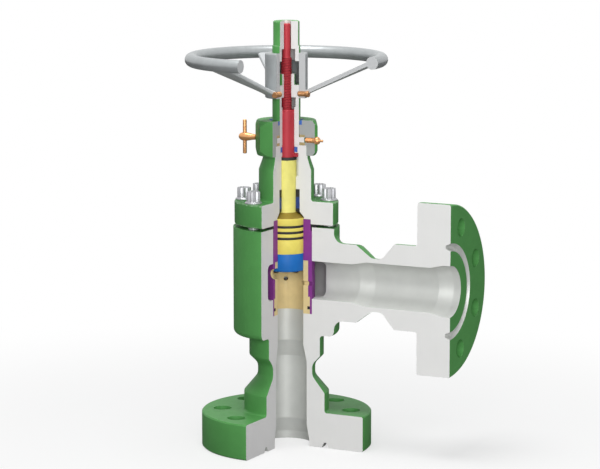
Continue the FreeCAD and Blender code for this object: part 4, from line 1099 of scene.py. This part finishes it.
class VALVE_OT_wheel_screws(ValveOperator, bpy.types.Operator):
    """Model the two brass screws of the handwheel"""

    bl_idname = "valve.wheel_screws"
    bl_label = "Wheel screws"

    def execute(self, context):
        small = valve().small
        low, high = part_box("handwheel_screws")
        level = (low.z + high.z) / 2
        end = high.x
        seat = end - small.wheel_screw_head_height
        bm = bmesh.new()
        for turn in (0, -90):
            screw = self.slotted_screw(small, seat, end)
            lay_along_x(screw, level)
            bmesh.ops.rotate(screw, matrix=Matrix.Rotation(math.radians(turn), 3, "Z"),
                             verts=screw.verts)
            take_in(bm, screw)
        finish_piece("brass_wheel_screws", bm, "drive", ["darker_brass"],
                     ["handwheel_screws"])
        return {"FINISHED"}

    @staticmethod
    def slotted_screw(small, seat, end):
        """A screw with ridged thread and a slotted round head, pointing up."""
        shank, head = small.wheel_screw, small.wheel_screw_head
        root, pitch = small.wheel_screw_root, small.screw_pitch
        edge, rim, depth = 0.8 * MM, 0.3 * MM, 0.45 * MM
        bm = turned([
            (0, root), (shank - edge, root),
            *ridges(root + edge, seat - pitch, pitch, (shank - depth, 0), (shank, 0.5)),
            (shank, seat), (head - rim, seat), (head, seat + rim),
            *arc(head - edge, end - edge, edge, 0, 90, 4), (0, end)], 40)
        half = small.slot_width / 2
        for side in (1, -1):
            split(bm, (side * half, 0, 0), (side, 0, 0))
        floor = [face for face in bm.faces
                 if abs(face.calc_center_median().x) < half
                 and face.calc_center_median().z > end - 0.5 * edge]
        cut = bmesh.ops.extrude_face_region(bm, geom=floor)["geom"]
        bmesh.ops.delete(bm, geom=floor, context="FACES")
        bmesh.ops.translate(bm, vec=(0, 0, -small.slot_depth),
                            verts=items_of(cut, bmesh.types.BMVert))
        face_outwards(bm)
        return bm


class VALVE_OT_lock_screw(ValveOperator, bpy.types.Operator):
    """Model the locking screw with its cross bar"""

    bl_idname = "valve.lock_screw"
    bl_label = "Locking screw"

    def execute(self, context):
        small = valve().small
        low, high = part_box("lock_screw")
        front, back = -high.x, -low.x
        bar_low, bar_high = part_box("lock_bar")
        middle = -(bar_low.x + bar_high.x) / 2
        edge, depth, thread_length = 0.6 * MM, 0.55 * MM, 17 * MM
        crest, pitch = small.lock_thread, small.screw_pitch
        neck = front + thread_length
        bm = turned([
            (0, front), (crest - edge, front),
            *ridges(front + edge, neck - pitch, pitch, (crest, 0.25), (crest - depth, 0.75)),
            (small.lock_neck, neck), *self.bulb(small, neck, middle, back)], 56)
        lay_along_x(bm, DRIVE_LEVEL, forward=False)
        finish_piece("locking_screw_round", bm, "locking_screw", ["brass"],
                     ["lock_screw"])
        self.add_bar(small, middle, bar_low.z, bar_high.z)
        return {"FINISHED"}

    @staticmethod
    def bulb(small, neck, middle, back):
        """Points of the round head, from its neck to its closed end."""
        steps, fullness = 22, 2.2
        for step in range(1, steps + 1):
            share = step / steps
            place = neck + (back - neck) * share
            if place < middle:
                rise = (place - neck) / (middle - neck)
                swell = 0.5 - 0.5 * math.cos(math.pi * rise)
                yield (small.lock_neck + (small.lock_bulb - small.lock_neck) * swell, place)
            else:
                fall = (place - middle) / (back - middle)
                yield (small.lock_bulb * math.sqrt(max(0.0, 1 - fall ** fullness)), place)

    @staticmethod
    def add_bar(small, middle, bottom, top):
        """The cross bar with rounded ends."""
        edge = 1.4 * MM
        bm = turned(rounded(0, small.lock_bar, bottom, top, edge), 40)
        bmesh.ops.translate(bm, vec=(-middle, 0, 0), verts=bm.verts)
        finish_piece("cross_bar", bm, "locking_screw", ["brass"], ["lock_bar"])


class VALVE_OT_grease_fitting(ValveOperator, bpy.types.Operator):
    """Model the grease fitting in the nut's wall"""

    bl_idname = "valve.grease_fitting"
    bl_label = "Grease fitting"

    def execute(self, context):
        small = valve().small
        low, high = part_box("grease_fitting")
        crest, pitch, nipple = small.fitting_thread, small.screw_pitch, small.nipple
        base, ball_base, tip = low.x, 49.6 * MM, high.x
        ball_length, seat, runout = 7.5 * MM, 1.2 * MM, 4 * MM
        edge, relief, waist = 0.5 * MM, 0.4 * MM, nipple * 0.72
        collar, shoulder, nose = tip - 2.4 * MM, tip - 1.8 * MM, tip - 0.6 * MM
        bm = turned([
            (0, base), (crest - edge, base),
            *ridges(base + edge, ball_base - runout, pitch, (crest, 0.25), (crest - edge, 0.75)),
            (crest - relief, ball_base),
            *arc(0, ball_base + ball_length / 2, small.fitting_ball, -32, 32, 10),
            (nipple + edge, ball_base + ball_length + seat),
            (waist, ball_base + ball_length + seat * 2), (waist, collar), (nipple, shoulder),
            (nipple * 0.9, nose), (nipple * 0.5, tip), (0, tip)], 40)
        lay_along_x(bm, DRIVE_LEVEL)
        finish_piece("brass_grease_fitting", bm, "valve", ["brass"], ["grease_fitting"])
        return {"FINISHED"}


class VALVE_OT_packing(ValveOperator, bpy.types.Operator):
    """Model the rod packing as a stack of vee rings"""

    bl_idname = "valve.packing"
    bl_label = "Rod packing"

    def execute(self, context):
        small = valve().small
        low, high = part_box("packing_set")
        inner, outer = small.packing_inner, high.y
        middle = (inner + outer) / 2
        last = small.packing_rings - 1
        height = (high.z - low.z) / small.packing_rings
        vee, gap = height * 0.35, 0.25 * MM
        bm = bmesh.new()
        for number in range(small.packing_rings):
            base = low.z + height * number
            top = base + height - gap
            turn_kept(bm, [
                (inner, base), (middle, base + vee * (number > 0)), (outer, base),
                (outer, top), (middle, top + vee * (number < last)), (inner, top)])
        close_shape(bm)
        finish_piece("vee_packing", bm, "valve", ["packing_navy"],
                     ["packing_set"])
        return {"FINISHED"}


class VALVE_OT_kept_parts(ValveOperator, bpy.types.Operator):
    """Give the plain turned parts their finishes"""

    bl_idname = "valve.kept_parts"
    bl_label = "Rings, washers and seals"

    def execute(self, context):
        finishes = {
            # The gasket's near-black finish is painted shade of the gap.
            "bonnet_gasket": "gasket_painted_shade", "cage_seal": "black_rubber",
            "packing_bottom_ring": "black_rubber", "packing_top_ring": "black_rubber",
            "stem_ring": "black_rubber", "stem_seal": "seal_blue", "nut_wiper": "seal_blue",
            "lower_thrust_washer": "bronze", "upper_thrust_washer": "bronze",
            "anti_rotation_key": "stem_red", "tip_screw": "zinc", "lock_pad": "brass",
        }
        for node, kind in finishes.items():
            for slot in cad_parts[node].material_slots:
                slot.material = finish(kind)
        return {"FINISHED"}


class VALVE_OT_stage(ValveOperator, bpy.types.Operator):
    """Add the pale floor, the studio light and the camera"""

    bl_idname = "valve.stage"
    bl_label = "Stage, light and camera"

    def execute(self, context):
        self.add_floor()
        self.light_world()
        self.add_lamps()
        self.add_camera(valve().view)
        context.scene.view_settings.view_transform = "Standard"
        return {"FINISHED"}

    @staticmethod
    def add_floor():
        """A wide pale floor that turns to plain white away from the valve."""
        bm = bmesh.new()
        radius, drop = 9.0, 0.3 * MM
        near, far, least = 0.25, 1.1, 0.65
        bmesh.ops.create_circle(bm, cap_ends=True, segments=96, radius=radius,
                                matrix=Matrix.Translation((0, 0, -drop)))
        floor = put_in_scene("floor", mesh_of("floor", bm))
        shade = Shade("floor")
        seen = shade.ray("Camera")
        grain = shade.noise(3 * MM, 3)
        pale = shade.mix(grain, (0.86, 0.86, 0.86), (0.9, 0.9, 0.9))
        tone = shade.mix(seen, (0.24, 0.24, 0.24), pale)
        plain = shade.node("ShaderNodeBsdfPrincipled", {}, {
            "Base Color": tone, "Roughness": 0.8, "Specular IOR Level": 0.2}, "BSDF")
        glow = shade.node("ShaderNodeEmission", {}, {"Color": (1, 1, 1, 1), "Strength": 1.0},
                          "Emission")
        away = shade.radius().between(near, far) * (1 - least) + least
        floor.data.materials.append(shade.end(shade.node("ShaderNodeMixShader", {}, {
            0: seen * away, 1: plain, 2: glow}, "Shader")))

    @staticmethod
    def light_world():
        """Even soft light all round, which the camera and gloss see as white."""
        world = bpy.data.worlds.new("studio")
        bpy.context.scene.world = world
        shade = Shade("studio", world)
        fill = shade.node("ShaderNodeBackground", {}, {
            "Color": (0.95, 0.97, 1.0, 1), "Strength": 0.17}, "Background")
        white = shade.node("ShaderNodeBackground", {}, {
            "Color": (1, 1, 1, 1), "Strength": 1.0}, "Background")
        seen = shade.ray("Camera", "Glossy", "Transmission")
        shade.end(shade.node("ShaderNodeMixShader", {}, {0: seen, 1: fill, 2: white}, "Shader"))

    @staticmethod
    def add_lamps():
        """A broad key light in front, a weaker one beside the inlet and a wide one above."""
        middle = Vector((0.03, 0, 0.33))
        rows = (
            ("key", (1.45, -2.6, 1.0), 1.8, 52.5),
            ("right", (2.6, -1.4, 0.9), 2.2, 10.0),
            ("above", (-0.1, -0.3, 2.5), 1.2, 38.0),
        )
        for name, place, size, power in rows:
            lamp = bpy.data.lights.new(name, "AREA")
            lamp.shape = "DISK"
            lamp.size = size
            lamp.energy = power
            holder = put_in_scene(name, lamp)
            holder.location = place
            towards = Vector(place) - middle
            holder.rotation_euler = towards.to_track_quat("Z", "Y").to_euler()

    @staticmethod
    def add_camera(view):
        """The camera at the photograph's angle."""
        turn, lift = view.azimuth, view.elevation
        back = Vector((math.sin(turn) * math.cos(lift), -math.cos(turn) * math.cos(lift),
                       math.sin(lift)))
        right = Vector((math.cos(turn), math.sin(turn), 0))
        lens = bpy.data.cameras.new("camera")
        lens.lens = view.lens
        lens.sensor_width = 36
        camera = put_in_scene("camera", lens)
        camera.location = right * view.slide + Vector((0, 0, view.height)) + back * view.distance
        camera.rotation_euler = back.to_track_quat("Z", "Y").to_euler()
        bpy.context.scene.camera = camera


class VALVE_PT_sidebar(bpy.types.Panel):
    """Lists the valve's steps in the sidebar"""

    bl_idname = "VALVE_PT_sidebar"
    bl_label = "Choke valve"
    bl_space_type = "VIEW_3D"
    bl_region_type = "UI"
    bl_category = "Choke valve"

    def draw(self, context):
        for operator in OPERATORS:
            self.layout.operator(operator.bl_idname)


SETTINGS = (ValveColours, EdgeSizes, ThreadSizes, BoltSizes, WheelSizes, SmallSizes, ViewSizes,
            ValveSettings)
OPERATORS = (VALVE_OT_body, VALVE_OT_casings, VALVE_OT_cage, VALVE_OT_plug, VALVE_OT_stem,
             VALVE_OT_bushing_thread, VALVE_OT_bolts, VALVE_OT_handwheel, VALVE_OT_wheel_screws,
             VALVE_OT_lock_screw, VALVE_OT_grease_fitting, VALVE_OT_packing, VALVE_OT_kept_parts,
             VALVE_OT_stage)


def register():
    """Registers the settings, the operators and the panel."""
    for item in (*SETTINGS, *OPERATORS, VALVE_PT_sidebar):
        bpy.utils.register_class(item)
    bpy.types.Scene.choke_valve = PointerProperty(type=ValveSettings, name="Choke valve",
                                                  description="Settings of the choke valve")


def unregister():
    """Takes everything out again."""
    del bpy.types.Scene.choke_valve
    for item in reversed((*SETTINGS, *OPERATORS, VALVE_PT_sidebar)):
        bpy.utils.unregister_class(item)


def main():
    """Makes the valve's pieces in order, then the stage."""
    register()
    bpy.ops.valve.body()
    bpy.ops.valve.casings()
    bpy.ops.valve.cage()
    bpy.ops.valve.plug()
    bpy.ops.valve.stem()
    bpy.ops.valve.bushing_thread()
    bpy.ops.valve.bolts()
    bpy.ops.valve.handwheel()
    bpy.ops.valve.wheel_screws()
    bpy.ops.valve.lock_screw()
    bpy.ops.valve.grease_fitting()
    bpy.ops.valve.packing()
    bpy.ops.valve.kept_parts()
    bpy.ops.valve.stage()


if __name__ == "__main__":
    main()
